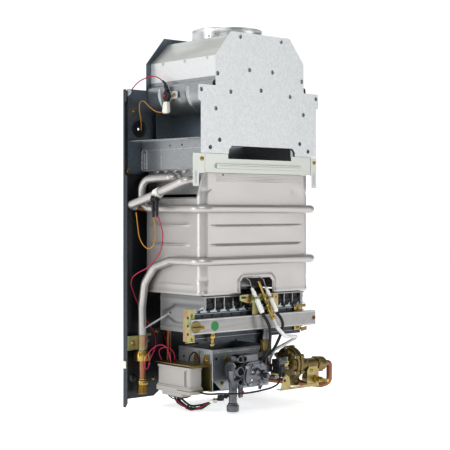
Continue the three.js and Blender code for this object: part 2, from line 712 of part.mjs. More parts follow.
function overheatThermostat() {
  const y = -92;
  const centre = [-153.8, 91.9];
  const down = [-0.5, -0.866];
  const at = (distance) => [centre[0] + down[0] * distance, y, centre[1] + down[1] * distance];
  const terminals = [5, -5].map((shift) => rod("z", -161.3, y + shift, 66, 80, 1.6, 6));
  return join(strut(at(11), at(17), 8.5, 14), ...terminals);
}

function spillWireRed() {
  return lead([
    [-120.8, -72, 287.6], [-120.8, -62, 297], [-122, -50, 304], [-127, -38, 306], [-134, -30, 303],
    [-145, -24, 296], [-155, -21, 285], [-162, -18, 275],
  ], 1);
}

function spillWireOrange() {
  return lead([
    [-121, -74.5, 248.5], [-121, -66, 240], [-123, -50, 241], [-125, -32, 250], [-131, -20, 262],
    [-138, -19, 259], [-140, -20, 245], [-135, -17, 230], [-131, -13.5, 218], [-128, -9, 209],
  ], 1);
}

function overheatWireOrange() {
  return lead([
    [-161.3, -87, 65.6], [-161.2, -88, 57], [-161, -92, 42], [-160.5, -94, 25], [-160.5, -92, 8],
    [-160, -83, -4], [-160, -71, -7], [-160, -57, 0], [-160, -46, 14], [-160, -41, 35],
    [-160.5, -37, 58],
  ], 1);
}

function overheatWireRed() {
  return lead([
    [-161.3, -97, 65.6], [-161.2, -99, 57], [-161, -107, 42], [-160.5, -115, 18], [-160, -109, -8],
    [-160, -90, -28], [-160, -65, -43], [-161, -44, -51], [-163, -30, -60], [-159, -20, -73],
    [-150, -15, -88], [-140, -14, -108], [-125, -14, -132], [-112, -18, -154], [-114, -34, -172],
    [-128, -50, -190], [-141, -49, -212], [-146, -48, -225], [-146, -50, -208], [-139, -58, -188],
    [-131, -70, -181], [-125, -80, -185], [-121, -84, -198], [-119, -86, -211.5],
  ], 1);
}

function microswitchCable() {
  return lead([
    [27, -216, -232.4], [26.5, -217, -240], [22, -217.5, -249], [9, -216, -255], [-8, -214, -257.5],
    [-27, -212, -259.5], [-48, -206, -261], [-76, -196, -260.5], [-89, -186, -260], [-97, -170, -262],
    [-100, -152, -262], [-101, -144.6, -260],
  ], 1.6);
}

function igniterHarness() {
  return lead([
    [-104, -88, -274.2], [-104, -89, -280], [-104, -102, -287], [-98, -111, -293.5], [-86, -121, -294.5],
    [-75, -131, -288], [-67, -141, -281], [-58, -153, -275], [-46, -161, -270], [-34, -160, -264],
  ], 2.6);
}

// ---- the whole heater --------------------------------------------------------------------------------
add("back_panel", backPanel(), DARK_SHEET);
add("hood_back_plate", hoodBackPlate(), DARK_SHEET);
add("hood_front_plate", hoodFrontPlate(), GALVANISED);
add("hood_wrap", hoodWrap(), GALVANISED);
add("flue_collar", flueCollar(), GALVANISED);
add("deflector_left", deflector(-1), GALVANISED);
add("deflector_right", deflector(1), GALVANISED);
add("exchanger_skirt", exchangerSkirt(), GALVANISED);
add("front_cross_strip", frontCrossStrip(), CREAM);
add("strip_bracket_left", stripBracket(-1), CREAM);
add("strip_bracket_right", stripBracket(1), CREAM);
add("fin_block", finBlock(), SILVER);
add("combustion_chamber", combustionChamber(), SILVER);
add("coil_upper_turn", coilUpperTurn(), SILVER);
add("coil_lower_turn", coilLowerTurn(), SILVER);
add("cold_feed_pipe", coldFeedPipe(), SILVER);
add("copper_pipe", copperPipe(), COPPER);
add("pipe_clamp", pipeClamp(), ZINC);
add("hot_union_nut", hotUnionNut(), BRASS);
add("hot_outlet_tail", hotOutletTail(), BRASS);
add("burner_box", burnerBox(), SILVER);
add("burner_rack", burnerRack(), BLACK);
add("burner_channel", burnerChannel(), GALVANISED);
add("manifold_bar", manifoldBar(), ALUMINIUM);
add("manifold_plug", manifoldPlug(), DARK_BRASS);
add("manifold_bracket_left", manifoldBracketLeft(), ZINC);
add("manifold_bracket_right", manifoldBracketRight(), ZINC);
add("test_nipple", testNipple(), BRASS);
add("gas_riser", gasRiser(), DIE_CAST);
add("valve_tray", trayOfValves(), GALVANISED);
add("gas_valve_body", gasValveBody(), DIE_CAST);
add("gas_valve_cover", gasValveCover(), DIE_CAST);
add("gas_spindle", gasSpindle(), DIE_CAST);
add("push_rod", pushRod(), BRASS);
add("water_valve_cover", waterValveCover(), DARK_BRASS);
add("diaphragm", diaphragm(), BLACK);
add("water_valve_body", waterValveBody(), DARK_BRASS);
add("cold_union_nut", coldUnionNut(), BRASS);
add("water_spindle", waterSpindle(), BRASS);
add("water_valve_bracket", waterValveBracket(), ZINC);
add("microswitch", microswitch(), BLACK);
add("microswitch_plunger", microswitchPlunger(), RED);
add("pilot_burner", pilotBurner(), BRASS);
add("ignition_electrode", electrode(-21), CERAMIC);
add("flame_electrode", electrode(13), CERAMIC);
add("pilot_bracket", pilotBracket(), ZINC);
add("pilot_tube", pilotTube(), CERAMIC);
add("ignition_lead", ignitionLead(), BLACK);
add("flame_lead", flameLead(), BLACK);
add("igniter_box", igniterBox(), GREY_PLASTIC);
add("igniter_bracket", igniterBracket(), ZINC);
add("spill_thermostat", spillThermostat(), BLACK);
add("reset_button", resetButton(), RED);
add("overheat_thermostat", overheatThermostat(), BLACK);
add("spill_wire_red", spillWireRed(), RED);
add("spill_wire_orange", spillWireOrange(), ORANGE);
add("overheat_wire_orange", overheatWireOrange(), ORANGE);
add("overheat_wire_red", overheatWireRed(), RED);
add("microswitch_cable", microswitchCable(), BLACK);
add("igniter_harness", igniterHarness(), BLACK);

export default heater;
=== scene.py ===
# Looks for the wall-hung gas water heater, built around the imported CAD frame.
# Lengths are millimetres in the frame's axes (X right, +Y into the wall, Z up) unless a name or comment says
# otherwise, and are turned into metres where a mesh is made.
import math

import bmesh
import bpy
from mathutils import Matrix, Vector


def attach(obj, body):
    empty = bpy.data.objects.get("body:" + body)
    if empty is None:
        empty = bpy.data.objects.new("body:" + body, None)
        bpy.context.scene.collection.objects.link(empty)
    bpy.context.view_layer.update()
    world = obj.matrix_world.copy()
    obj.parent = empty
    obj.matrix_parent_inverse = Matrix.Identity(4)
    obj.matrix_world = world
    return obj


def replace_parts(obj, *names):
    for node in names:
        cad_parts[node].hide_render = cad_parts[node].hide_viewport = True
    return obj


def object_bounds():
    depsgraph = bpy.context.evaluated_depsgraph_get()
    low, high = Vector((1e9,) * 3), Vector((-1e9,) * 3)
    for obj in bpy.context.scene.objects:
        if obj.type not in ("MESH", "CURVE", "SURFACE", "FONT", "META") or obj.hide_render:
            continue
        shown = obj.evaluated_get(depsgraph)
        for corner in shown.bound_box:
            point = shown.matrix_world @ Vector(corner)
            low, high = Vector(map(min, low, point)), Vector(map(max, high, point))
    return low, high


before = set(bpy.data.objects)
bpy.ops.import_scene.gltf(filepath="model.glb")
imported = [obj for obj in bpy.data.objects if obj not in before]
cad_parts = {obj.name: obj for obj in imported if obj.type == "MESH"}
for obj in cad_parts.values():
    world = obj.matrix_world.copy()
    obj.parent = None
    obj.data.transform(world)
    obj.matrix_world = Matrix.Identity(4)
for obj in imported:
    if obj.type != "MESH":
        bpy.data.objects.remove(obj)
CAD_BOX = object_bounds()
MM = 0.001
CHASSIS = "chassis"
FRONT, LEFT, RIGHT, UP, DOWN = (0, -1, 0), (-1, 0, 0), (1, 0, 0), (0, 0, 1), (0, 0, -1)

# Camera and studio, in metres, degrees and watts.
CAMERA_PLACE = (-1.4456, -1.7518, 0.060)
CAMERA_HEADING = -41.15
CAMERA_LENS = 94.54
CAMERA_SHIFT = -0.0307
LIGHTS = {
    # name: place, what it points at, width and height, power
    "key": ((-1.9, -1.7, 1.7), (0, -0.1, 0.1), (1.3, 1.3), 22),
    "front": ((1.5, -2.4, 0.7), (0, -0.1, 0.05), (1.6, 1.9), 13),
    "left": ((-2.2, 0.5, 0.5), (-0.1, -0.1, 0), (0.7, 1.8), 14),
    "overhead": ((0.2, 0.3, 2.6), (0, -0.1, 0), (2.2, 1.6), 20),
}
WORLD_BRIGHT_SIDE = (0.25, 0.97, 0.0)
WORLD_SHADES = ((0.30, (0.16, 0.17, 0.185, 1)), (0.66, (0.93, 0.94, 0.95, 1)))
FLOOR_SIZE = 14
FLOOR_GAP = 0.002
FLOOR_GLOW = 0.52


# ---- camera, light and floor
def make_camera():
    camera = bpy.data.objects.new("camera", bpy.data.cameras.new("camera"))
    bpy.context.scene.collection.objects.link(camera)
    camera.location = CAMERA_PLACE
    camera.rotation_euler = (math.radians(90), 0, math.radians(CAMERA_HEADING))
    camera.data.lens = CAMERA_LENS
    camera.data.sensor_width = 36
    camera.data.shift_y = CAMERA_SHIFT
    camera.data.clip_start = 0.05
    bpy.context.scene.camera = camera


def area_light(name, place, target, size, power):
    light = bpy.data.lights.new(name, "AREA")
    light.shape = "RECTANGLE"
    light.size, light.size_y = size
    light.energy = power
    lamp = bpy.data.objects.new(name, light)
    lamp.location = place
    lamp.rotation_euler = (Vector(target) - Vector(place)).to_track_quat("-Z", "Y").to_euler()
    bpy.context.scene.collection.objects.link(lamp)


def make_studio():
    scene = bpy.context.scene
    scene.view_settings.view_transform = "Standard"
    scene.view_settings.look = "Medium High Contrast"
    world = bpy.data.worlds.new("studio")
    world.use_nodes = True
    tree = world.node_tree
    place = tree.nodes.new("ShaderNodeTexCoord").outputs["Generated"]
    facing = tree.nodes.new("ShaderNodeVectorMath")
    facing.operation = "DOT_PRODUCT"
    facing.inputs[1].default_value = WORLD_BRIGHT_SIDE
    shades = tree.nodes.new("ShaderNodeValToRGB")
    for element, (position, shade_here) in zip(shades.color_ramp.elements, WORLD_SHADES):
        element.position = position
        element.color = shade_here
    tree.links.new(place, facing.inputs[0])
    tree.links.new(facing.outputs["Value"], shades.inputs["Fac"])
    tree.links.new(shades.outputs["Color"], tree.nodes["Background"].inputs["Color"])
    tree.nodes["Background"].inputs["Strength"].default_value = 1.0
    scene.world = world
    for name, light in LIGHTS.items():
        area_light(name, *light)
    bpy.ops.mesh.primitive_plane_add(size=FLOOR_SIZE, location=(0, 0, CAD_BOX[0][2] - FLOOR_GAP))
    floor = bpy.context.object
    floor.name = "studio_floor"
    paint = bpy.data.materials.new("floor_paint")
    paint.use_nodes = True
    shader = paint.node_tree.nodes["Principled BSDF"]
    shader.inputs["Base Color"].default_value = (0.88, 0.88, 0.88, 1)
    shader.inputs["Roughness"].default_value = 0.9
    shader.inputs["Emission Color"].default_value = (1, 1, 1, 1)
    shader.inputs["Emission Strength"].default_value = FLOOR_GLOW
    floor.data.materials.append(paint)


make_camera()
make_studio()


# ---- materials
class Paint:
    """A principled material whose colour, roughness and bump come from small node chains."""

    def __init__(self, name, colour, roughness, metallic=0.0):
        self.material = bpy.data.materials.new("look_" + name)
        self.material.use_nodes = True
        self.tree = self.material.node_tree
        self.shader = self.tree.nodes["Principled BSDF"]
        self.shader.inputs["Base Color"].default_value = (*colour, 1)
        self.shader.inputs["Roughness"].default_value = roughness
        self.shader.inputs["Metallic"].default_value = metallic
        self.place = self.tree.nodes.new("ShaderNodeTexCoord").outputs["Object"]

    def node(self, kind, **inputs):
        made = self.tree.nodes.new(kind)
        for socket, value in inputs.items():
            made.inputs[socket].default_value = value
        return made

    def link(self, source, target):
        self.tree.links.new(source, target)

    def noise(self, scale, detail=3.0, stretch=None):
        made = self.node("ShaderNodeTexNoise", Scale=scale, Detail=detail)
        if stretch:
            mapping = self.node("ShaderNodeMapping", Scale=stretch)
            self.link(self.place, mapping.inputs["Vector"])
            self.link(mapping.outputs["Vector"], made.inputs["Vector"])
        else:
            self.link(self.place, made.inputs["Vector"])
        return made.outputs["Fac"]

    def cells(self, scale, randomness=1.0):
        made = self.node("ShaderNodeTexVoronoi", Scale=scale, Randomness=randomness)
        self.link(self.place, made.inputs["Vector"])
        return made.outputs["Color"]

    def ramp(self, source, *stops):
        made = self.node("ShaderNodeValToRGB")
        ramp = made.color_ramp
        while len(ramp.elements) < len(stops):
            ramp.elements.new(0.5)
        for element, (position, colour) in zip(ramp.elements, stops):
            element.position = position
            element.color = (*colour, 1)
        self.link(source, made.inputs["Fac"])
        return made.outputs["Color"]

    def mix(self, factor, first, second, mode="MIX"):
        made = self.node("ShaderNodeMix")
        made.data_type = "RGBA"
        made.blend_type = mode
        for socket, value in ((made.inputs[0], factor), (made.inputs[6], first), (made.inputs[7], second)):
            if isinstance(value, bpy.types.NodeSocket):
                self.link(value, socket)
            elif isinstance(value, (int, float)):
                socket.default_value = value
            else:
                socket.default_value = (*value, 1)
        return made.outputs[2]

    def colour_from(self, output):
        self.link(output, self.shader.inputs["Base Color"])

    def roughness_from(self, source, low, high):
        spread = self.node("ShaderNodeMapRange")
        spread.inputs["To Min"].default_value = low
        spread.inputs["To Max"].default_value = high
        self.link(source, spread.inputs["Value"])
        self.link(spread.outputs["Result"], self.shader.inputs["Roughness"])

    def bump_from(self, source, strength, distance):
        bump = self.node("ShaderNodeBump", Strength=strength, Distance=distance)
        self.link(source, bump.inputs["Height"])
        self.link(bump.outputs["Normal"], self.shader.inputs["Normal"])

    def lighten_edges(self, base, edge, amount=0.35):
        """Lightens the colour along sharp outward edges."""
        pointed = self.tree.nodes.new("ShaderNodeNewGeometry").outputs["Pointiness"]
        mask = self.ramp(pointed, (0.50, (0, 0, 0)), (0.56, (amount, amount, amount)))
        return self.mix(mask, base, edge)


def shade(colour, factor):
    return tuple(min(1.0, c * factor) for c in colour)


def galvanised(name, colour, roughness, metallic, spangle, stain_and_top_shade=None, dent_shade=None):
    paint = Paint(name, colour, roughness, metallic)
    flakes = paint.cells(620)
    coarse = paint.cells(240)
    cloud = paint.noise(26, 4)
    spangled = paint.mix(0.5, flakes, coarse)
    grey = paint.ramp(spangled, (0.2, shade(colour, 1 - spangle)), (0.8, shade(colour, 1 + spangle)))
    clouded = paint.mix(cloud, shade(colour, 0.93), shade(colour, 1.05))
    tone = paint.mix(0.40, grey, clouded)
    # Upward faces are blended in blotches toward this colour: partly a real greenish stain, partly painted
    # shade that keeps the tops darker than the sides.
    if stain_and_top_shade:
        up = paint.node("ShaderNodeSeparateXYZ")
        paint.link(paint.tree.nodes.new("ShaderNodeNewGeometry").outputs["Normal"], up.inputs["Vector"])
        facing_up = paint.ramp(up.outputs["Z"], (0.25, (0, 0, 0)), (0.55, (0.75, 0.75, 0.75)))
        blotches = paint.noise(17, 5, stretch=(1.0, 0.35, 1.6))
        patch = paint.ramp(blotches, (0.42, (0.62, 0.62, 0.62)), (0.62, (1, 1, 1)))
        tone = paint.mix(paint.mix(1.0, facing_up, patch, "MULTIPLY"), tone, stain_and_top_shade)
    # Painted shade: ambient occlusion darkens the colour inside dents and other recesses by the given factor.
    if dent_shade:
        hollow = paint.node("ShaderNodeAmbientOcclusion", Distance=0.007)
        hollow.only_local = True
        shadow = paint.ramp(hollow.outputs["AO"], (0.45, (dent_shade, dent_shade, dent_shade)), (0.85, (1, 1, 1)))
        tone = paint.mix(1.0, tone, shadow, "MULTIPLY")
    paint.colour_from(tone)
    paint.roughness_from(spangled, roughness - 0.05, roughness + 0.05)
    paint.bump_from(paint.noise(60, 2), 0.015, 0.0012)
    return paint.material


def painted(name, colour, roughness, metallic=0.0, speck=0.03, bump=0.10, scale=900):
    paint = Paint(name, colour, roughness, metallic)
    cloud = paint.noise(14, 4)
    fine = paint.noise(scale, 3)
    tone = paint.mix(cloud, shade(colour, 1 - 2 * speck), shade(colour, 1 + speck))
    paint.colour_from(paint.lighten_edges(tone, shade(colour, 1.15), 0.25))
    paint.roughness_from(fine, roughness - 0.06, roughness + 0.08)
    paint.bump_from(fine, bump, 0.0004)
    return paint.material


def metal(name, colour, roughness, dull, bump=0.08, scale=420, metallic=1.0):
    paint = Paint(name, colour, roughness, metallic)
    cloud = paint.noise(55, 5)
    fine = paint.noise(scale, 4)
    tone = paint.mix(cloud, dull, colour)
    paint.colour_from(paint.lighten_edges(tone, shade(colour, 1.25), 0.4))
    paint.roughness_from(cloud, roughness + 0.10, roughness - 0.06)
    paint.bump_from(fine, bump, 0.0006)
    return paint.material


def iridescent(name):
    paint = Paint(name, (0.50, 0.44, 0.24), 0.3, 0.95)
    swirl = paint.noise(42, 2.5)
    tone = paint.ramp(
        swirl, (0.30, (0.17, 0.27, 0.18)), (0.44, (0.40, 0.37, 0.18)), (0.55, (0.39, 0.31, 0.14)),
        (0.64, (0.38, 0.22, 0.20)), (0.76, (0.30, 0.34, 0.22)))
    paint.colour_from(tone)
    paint.roughness_from(paint.noise(300, 3), 0.24, 0.42)
    paint.bump_from(paint.noise(500, 3), 0.05, 0.0004)
    return paint.material


def insulation(name, colour, roughness=0.42):
    paint = Paint(name, colour, roughness, 0.0)
    cloud = paint.noise(120, 2)
    paint.colour_from(paint.mix(cloud, shade(colour, 0.82), shade(colour, 1.15)))
    paint.roughness_from(paint.noise(700, 2), roughness - 0.08, roughness + 0.12)
    paint.bump_from(paint.noise(1500, 2), 0.05, 0.0002)
    return paint.material


GALVANISED = galvanised("galvanised_plate", (0.60, 0.61, 0.61), 0.42, 0.6, 0.16, dent_shade=0.34)
# The hood wrap's upward faces are painted darker than its sides (painted shade), along with a real greenish
# stain.
WRAP_STEEL = galvanised("hood_steel", (0.76, 0.76, 0.755), 0.36, 0.7, 0.05, stain_and_top_shade=(0.30, 0.31, 0.27))
BRIGHT_STEEL = galvanised("bright_steel", (0.62, 0.63, 0.63), 0.30, 0.85, 0.05)
SKIRT_STEEL = galvanised("skirt_steel", (0.37, 0.382, 0.39), 0.32, 0.85, 0.14)
# Painted shade: the back panel's galvanised sheet is painted near black for the shade it lies in; the burner
# channel, the hood window lip, the creases and the panel's small parts share it.
SHADED_PANEL_STEEL = galvanised("panel_steel_in_shade", (0.066, 0.073, 0.081), 0.38, 0.8, 0.22)
# Painted shade: the hood back plate and the baffle behind the hood window are galvanised sheet painted dark
# for the shade there, lighter than the panel for the light from above.
HALF_SHADED_BACK_STEEL = galvanised("back_steel_in_half_shade", (0.17, 0.20, 0.23), 0.36, 0.85, 0.18)
TRAY_STEEL = galvanised("tray_steel", (0.40, 0.43, 0.45), 0.38, 0.85, 0.14)
SILVER = painted("silver_paint", (0.505, 0.485, 0.468), 0.36, 0.70)
# Painted shade: the burner box is the chamber's silver paint, painted darker for the shade under the chamber.
SHADED_BURNER_SILVER = painted("burner_silver_in_shade", (0.27, 0.27, 0.27), 0.33, 0.8)
BAR_METAL = metal("bar_aluminium", (0.31, 0.305, 0.295), 0.32, (0.24, 0.235, 0.23), 0.05, 260)
# Painted shade: the fins are painted dark for the shade inside the hood window.
SHADED_FIN_METAL = metal("fin_metal_in_shade", (0.30, 0.30, 0.30), 0.4, (0.16, 0.16, 0.17))
CREAM = painted("cream_plate", (0.54, 0.55, 0.51), 0.33, 0.60, 0.05, 0.05)
BRASS = metal("brass", (0.52, 0.38, 0.12), 0.26, (0.30, 0.21, 0.07))
CAST_BRASS = metal("cast_brass", (0.26, 0.20, 0.085), 0.38, (0.13, 0.10, 0.05), 0.35, 900)
ZINC = iridescent("yellow_zinc")
ALUMINIUM = metal("aluminium", (0.70, 0.69, 0.68), 0.36, (0.60, 0.59, 0.58), 0.05, 260)
DIE_CAST = metal("die_cast", (0.20, 0.205, 0.22), 0.27, (0.095, 0.098, 0.108), 0.14, 900)
COPPER = metal("copper", (0.36, 0.175, 0.105), 0.34, (0.20, 0.10, 0.065))
STEEL = metal("steel", (0.50, 0.50, 0.50), 0.3, (0.36, 0.36, 0.37))
# The burner bars' own heat-blackened colour; the same black also fills discs standing for the dark inside of
# holes, which is painted shade.
BURNER_BLACK = painted("burner_black", (0.02, 0.021, 0.024), 0.38, 0.3, 0.2, 0.2, 500)
# Painted shade: matte black standing for the dark inside of ports and slots.
HOLE_SHADE_BLACK = painted("hole_shade_black", (0.004, 0.004, 0.004), 0.9, 0.0, 0.1, 0.05, 900)
BLACK_PLASTIC = painted("black_plastic", (0.018, 0.018, 0.02), 0.45, 0.0, 0.1, 0.1, 1200)
RUBBER = insulation("black_rubber", (0.016, 0.016, 0.018), 0.5)
CERAMIC = painted("ceramic", (0.86, 0.85, 0.80), 0.3, 0.0, 0.02, 0.03, 800)
GREY_DARK = painted("dark_grey_plastic", (0.10, 0.10, 0.105), 0.42, 0.0, 0.05, 0.05, 1500)
GREY_PLASTIC = painted("grey_plastic", (0.43, 0.415, 0.39), 0.48, 0.0, 0.02, 0.08, 1500)
WHITE_PLASTIC = painted("white_plastic", (0.80, 0.78, 0.70), 0.42, 0.0, 0.02, 0.05, 1500)
RED = insulation("red_wire", (0.42, 0.015, 0.06))
ORANGE = insulation("orange_wire", (0.50, 0.24, 0.03))
GREEN = insulation("green_paint", (0.03, 0.23, 0.06), 0.5)
SLEEVE = insulation("white_sleeve", (0.80, 0.79, 0.76), 0.45)


# The material of each CAD node; those with a piece that replaces them below are hidden later.
CAD_FINISH = {
    SHADED_PANEL_STEEL: ("back_panel", "burner_channel"),
    HALF_SHADED_BACK_STEEL: ("hood_back_plate",),
    WRAP_STEEL: ("hood_wrap",),
    SKIRT_STEEL: ("exchanger_skirt", "deflector_left", "deflector_right"),
    CREAM: ("strip_bracket_left", "strip_bracket_right", "front_cross_strip"),
    GALVANISED: ("hood_front_plate",),
    BRIGHT_STEEL: ("flue_collar",),
    SHADED_FIN_METAL: ("fin_block",),
    ZINC: ("pipe_clamp", "manifold_bracket_left", "manifold_bracket_right", "water_valve_bracket",
           "pilot_bracket", "igniter_bracket"),
    BRASS: ("hot_union_nut", "hot_outlet_tail", "test_nipple", "push_rod", "water_spindle", "pilot_burner"),
    SHADED_BURNER_SILVER: ("burner_box",),
    BURNER_BLACK: ("burner_rack",),
    BAR_METAL: ("manifold_bar",),
    CAST_BRASS: ("manifold_plug", "water_valve_cover", "water_valve_body", "cold_union_nut"),
    DIE_CAST: ("gas_riser", "gas_valve_body", "gas_valve_cover", "gas_spindle"),
    TRAY_STEEL: ("valve_tray",),
    RUBBER: ("diaphragm",),
    BLACK_PLASTIC: ("microswitch", "spill_thermostat", "overheat_thermostat"),
    RED: ("microswitch_plunger", "reset_button"),
    CERAMIC: ("ignition_electrode", "flame_electrode"),
    GREY_PLASTIC: ("igniter_box",),
    SILVER: ("combustion_chamber",),
}


def soften(obj, width, angle=32):
    bevel = obj.modifiers.new("edge", "BEVEL")
    bevel.width = width * MM
    bevel.segments = 2
    bevel.limit_method = "ANGLE"
    bevel.angle_limit = math.radians(angle)
    bevel.use_clamp_overlap = True


for material, nodes in CAD_FINISH.items():
    for node in nodes:
        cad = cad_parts[node]
        cad.data.materials.clear()
        cad.data.materials.append(material)


# ---- mesh tools
def link_piece(name, mesh, material, body):
    obj = bpy.data.objects.new(name, mesh)
    bpy.context.scene.collection.objects.link(obj)
    mesh.materials.append(material)
    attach(obj, body)
    return obj


def spokes(side, other, steps):
    """Each turn round a circle, with its unit vector between the two given ones."""
    turns = [2 * math.pi * k / steps for k in range(steps)]
    return [(turn, side * math.cos(turn) + other * math.sin(turn)) for turn in turns]


def ring_faces(rings, steps, closed=False):
    """Faces between neighbouring rings of points; the end rings are filled, or joined when closed."""
    faces = []
    for ring in range(rings if closed else rings - 1):
        here = ring * steps
        after = (ring + 1) % rings * steps
        for k in range(steps):
            n = (k + 1) % steps
            faces.append([here + k, here + n, after + n, after + k])
    if not closed:
        faces.append(list(range(steps - 1, -1, -1)))
        faces.append(list(range((rings - 1) * steps, rings * steps)))
    return faces


class Shape:
    """Gathers solids, in millimetres, into one mesh."""

    def __init__(self):
        self.verts = []
        self.faces = []

    def take(self, verts, faces):
        first = len(self.verts)
        self.verts.extend(verts)
        self.faces.extend([first + i for i in face] for face in faces)
        return self

    def prism(self, axis, outline, low, high):
        """A flat outline pushed from low to high along one axis."""
        place = {"x": lambda a, b, c: (c, a, b),
                 "y": lambda a, b, c: (a, c, b),
                 "z": lambda a, b, c: (a, b, c)}[axis]
        count = len(outline)
        verts = [place(a, b, h) for h in (low, high) for a, b in outline]
        faces = [list(range(count)), list(range(2 * count - 1, count - 1, -1))]
        for i in range(count):
            j = (i + 1) % count
            faces.append([i, count + i, count + j, j])
        return self.take(verts, faces)

    def box(self, x0, x1, y0, y1, z0, z1):
        return self.prism("z", [(x0, y0), (x1, y0), (x1, y1), (x0, y1)], z0, z1)

    def lathe(self, start, direction, profile, steps=32, hollow=False):
        """profile is (distance along, radius) pairs from the start point; a hollow one closes on itself."""
        along = Vector(direction).normalized()
        side = along.orthogonal().normalized()
        other = along.cross(side)
        verts = []
        for distance, radius in profile:
            middle = Vector(start) + along * distance
            verts += [tuple(middle + spoke * radius) for turn, spoke in spokes(side, other, steps)]
        return self.take(verts, ring_faces(len(profile), steps, hollow))

    def rod(self, start, end, radius, steps=24, edge=0.4):
        along = Vector(end) - Vector(start)
        long = along.length
        profile = [(0, radius - edge), (edge, radius), (long - edge, radius), (long, radius - edge)]
        return self.lathe(start, along, profile, steps)

    def hexagon(self, start, end, across, chamfer=0.9):
        """A hexagon nut or head from start to end with its corners turned down."""
        along = Vector(end) - Vector(start)
        long = along.length
        corner = across / math.sqrt(3)
        axis = along.normalized()
        side = Vector(UP if abs(axis.z) < 0.9 else RIGHT)
        side = (side - axis * side.dot(axis)).normalized()
        other = axis.cross(side)
        rings = [(0, 0.5 * across), (chamfer, corner), (long - chamfer, corner), (long, 0.5 * across)]
        steps = 24
        verts = []
        for distance, limit in rings:
            for turn, spoke in spokes(side, other, steps):
                flat = 0.5 * across / math.cos((turn + math.pi / 6) % (math.pi / 3) - math.pi / 6)
                verts.append(tuple(Vector(start) + axis * distance + spoke * min(flat, limit)))
        return self.take(verts, ring_faces(len(rings), steps))

    def screw(self, centre, normal, radius):
        """A round screw head with a cross recess."""
        height = radius * 0.62
        recess_depth, recess_reach, arm_half_width = 0.62, 0.55, 0.105
        axis = Vector(normal).normalized()
        side = axis.orthogonal().normalized()
        other = axis.cross(side)
        steps = 32
        rings = [(1.0, 0.0), (1.0, 0.35), (0.9, 0.7), (0.72, 0.9), (0.5, 0.98), (0.28, 1.0), (0.12, 1.0)]
        verts = []
        for part, rise in rings:
            for turn, spoke in spokes(side, other, steps):
                from_arm = abs((turn + math.pi / 4) % (math.pi / 2) - math.pi / 4)
                in_arm = part <= recess_reach and math.sin(from_arm) * part < arm_half_width
                sunk = recess_depth if in_arm else 0.0
                verts.append(tuple(Vector(centre) + spoke * radius * part + axis * height * (rise - sunk)))
        return self.take(verts, ring_faces(len(rings), steps))

    def make(self, name, material, body=CHASSIS, sharp=38, bevel=0.0):
        """One piece in metres, with smooth faces and edges sharp over an angle in degrees."""
        mesh = bpy.data.meshes.new(name)
        mesh.from_pydata([[c * MM for c in v] for v in self.verts], [], self.faces)
        work = bmesh.new()
        work.from_mesh(mesh)
        bmesh.ops.remove_doubles(work, verts=work.verts, dist=1e-6)
        bmesh.ops.recalc_face_normals(work, faces=work.faces)
        limit = math.radians(sharp)
        for edge in work.edges:
            edge.smooth = not (edge.is_manifold and edge.calc_face_angle(0) > limit)
        for face in work.faces:
            face.smooth = True
        work.to_mesh(mesh)
        work.free()
        obj = link_piece(name, mesh, material, body)
        if bevel:
            soften(obj, bevel)
        return obj


def arc(a, b, radius, start, end, steps):
    turns = [math.radians(start + (end - start) * i / steps) for i in range(steps + 1)]
    return [(a + radius * math.cos(t), b + radius * math.sin(t)) for t in turns]


def rounded(points, radius, steps=5):
    """Rounds the corners of a flat outline."""
    out = []
    count = len(points)
    for i, corner in enumerate(points):
        here = Vector(corner)
        before = Vector(points[i - 1]) - here
        after = Vector(points[(i + 1) % count]) - here
        reach = min(radius, before.length * 0.45, after.length * 0.45)
        start = here + before.normalized() * reach
        end = here + after.normalized() * reach
        for k in range(steps + 1):
            t = k / steps
            point = start * (1 - t) ** 2 + here * 2 * t * (1 - t) + end * t ** 2
            out.append((point.x, point.y))
    return out


def along(start, end, profile, steps=32):
    """A lathe piece between two points whose profile distances are shares of its length."""
    run = Vector(end) - Vector(start)
    return (start, tuple(run), [(share * run.length, radius) for share, radius in profile], steps)


def around(count, first=0):
    """Cosine and sine of equal turns round a circle, from a first angle in degrees."""
    turns = [math.radians(first + 360 * k / count) for k in range(count)]
    return [(math.cos(t), math.sin(t)) for t in turns]


def slab(a0, a1, b0, b1, radius, steps=5):
    """A rectangle with rounded corners."""
    return rounded([(a0, b0), (a1, b0), (a1, b1), (a0, b1)], radius, steps)


def bent(points, bend, steps=10):
    """A polyline in space with its corners turned into arcs; a fourth number is that corner's own radius."""
    corners = [Vector(p[:3]) for p in points]
    out = [corners[0]]
    for i in range(1, len(corners) - 1):
        into = corners[i] - corners[i - 1]
        outward = corners[i + 1] - corners[i]
        angle = into.angle(outward)
        radius = points[i][3] if len(points[i]) > 3 else bend
        reach = min(radius * math.tan(angle / 2), into.length * 0.49, outward.length * 0.49)
        start = corners[i] - into.normalized() * reach
        end = corners[i] + outward.normalized() * reach
        control = 4 / 3 * math.tan(angle / 4) / math.tan(angle / 2) * reach
        first = start + into.normalized() * control
        second = end - outward.normalized() * control
        for k in range(steps + 1):
            t = k / steps
            u = 1 - t
            out.append(start * u ** 3 + first * 3 * t * u ** 2 + second * 3 * t * t * u + end * t ** 3)
    out.append(corners[-1])
    return out


def between(a, b, start, end, t):
    return a * ((end - t) / (end - start)) + b * ((t - start) / (end - start))


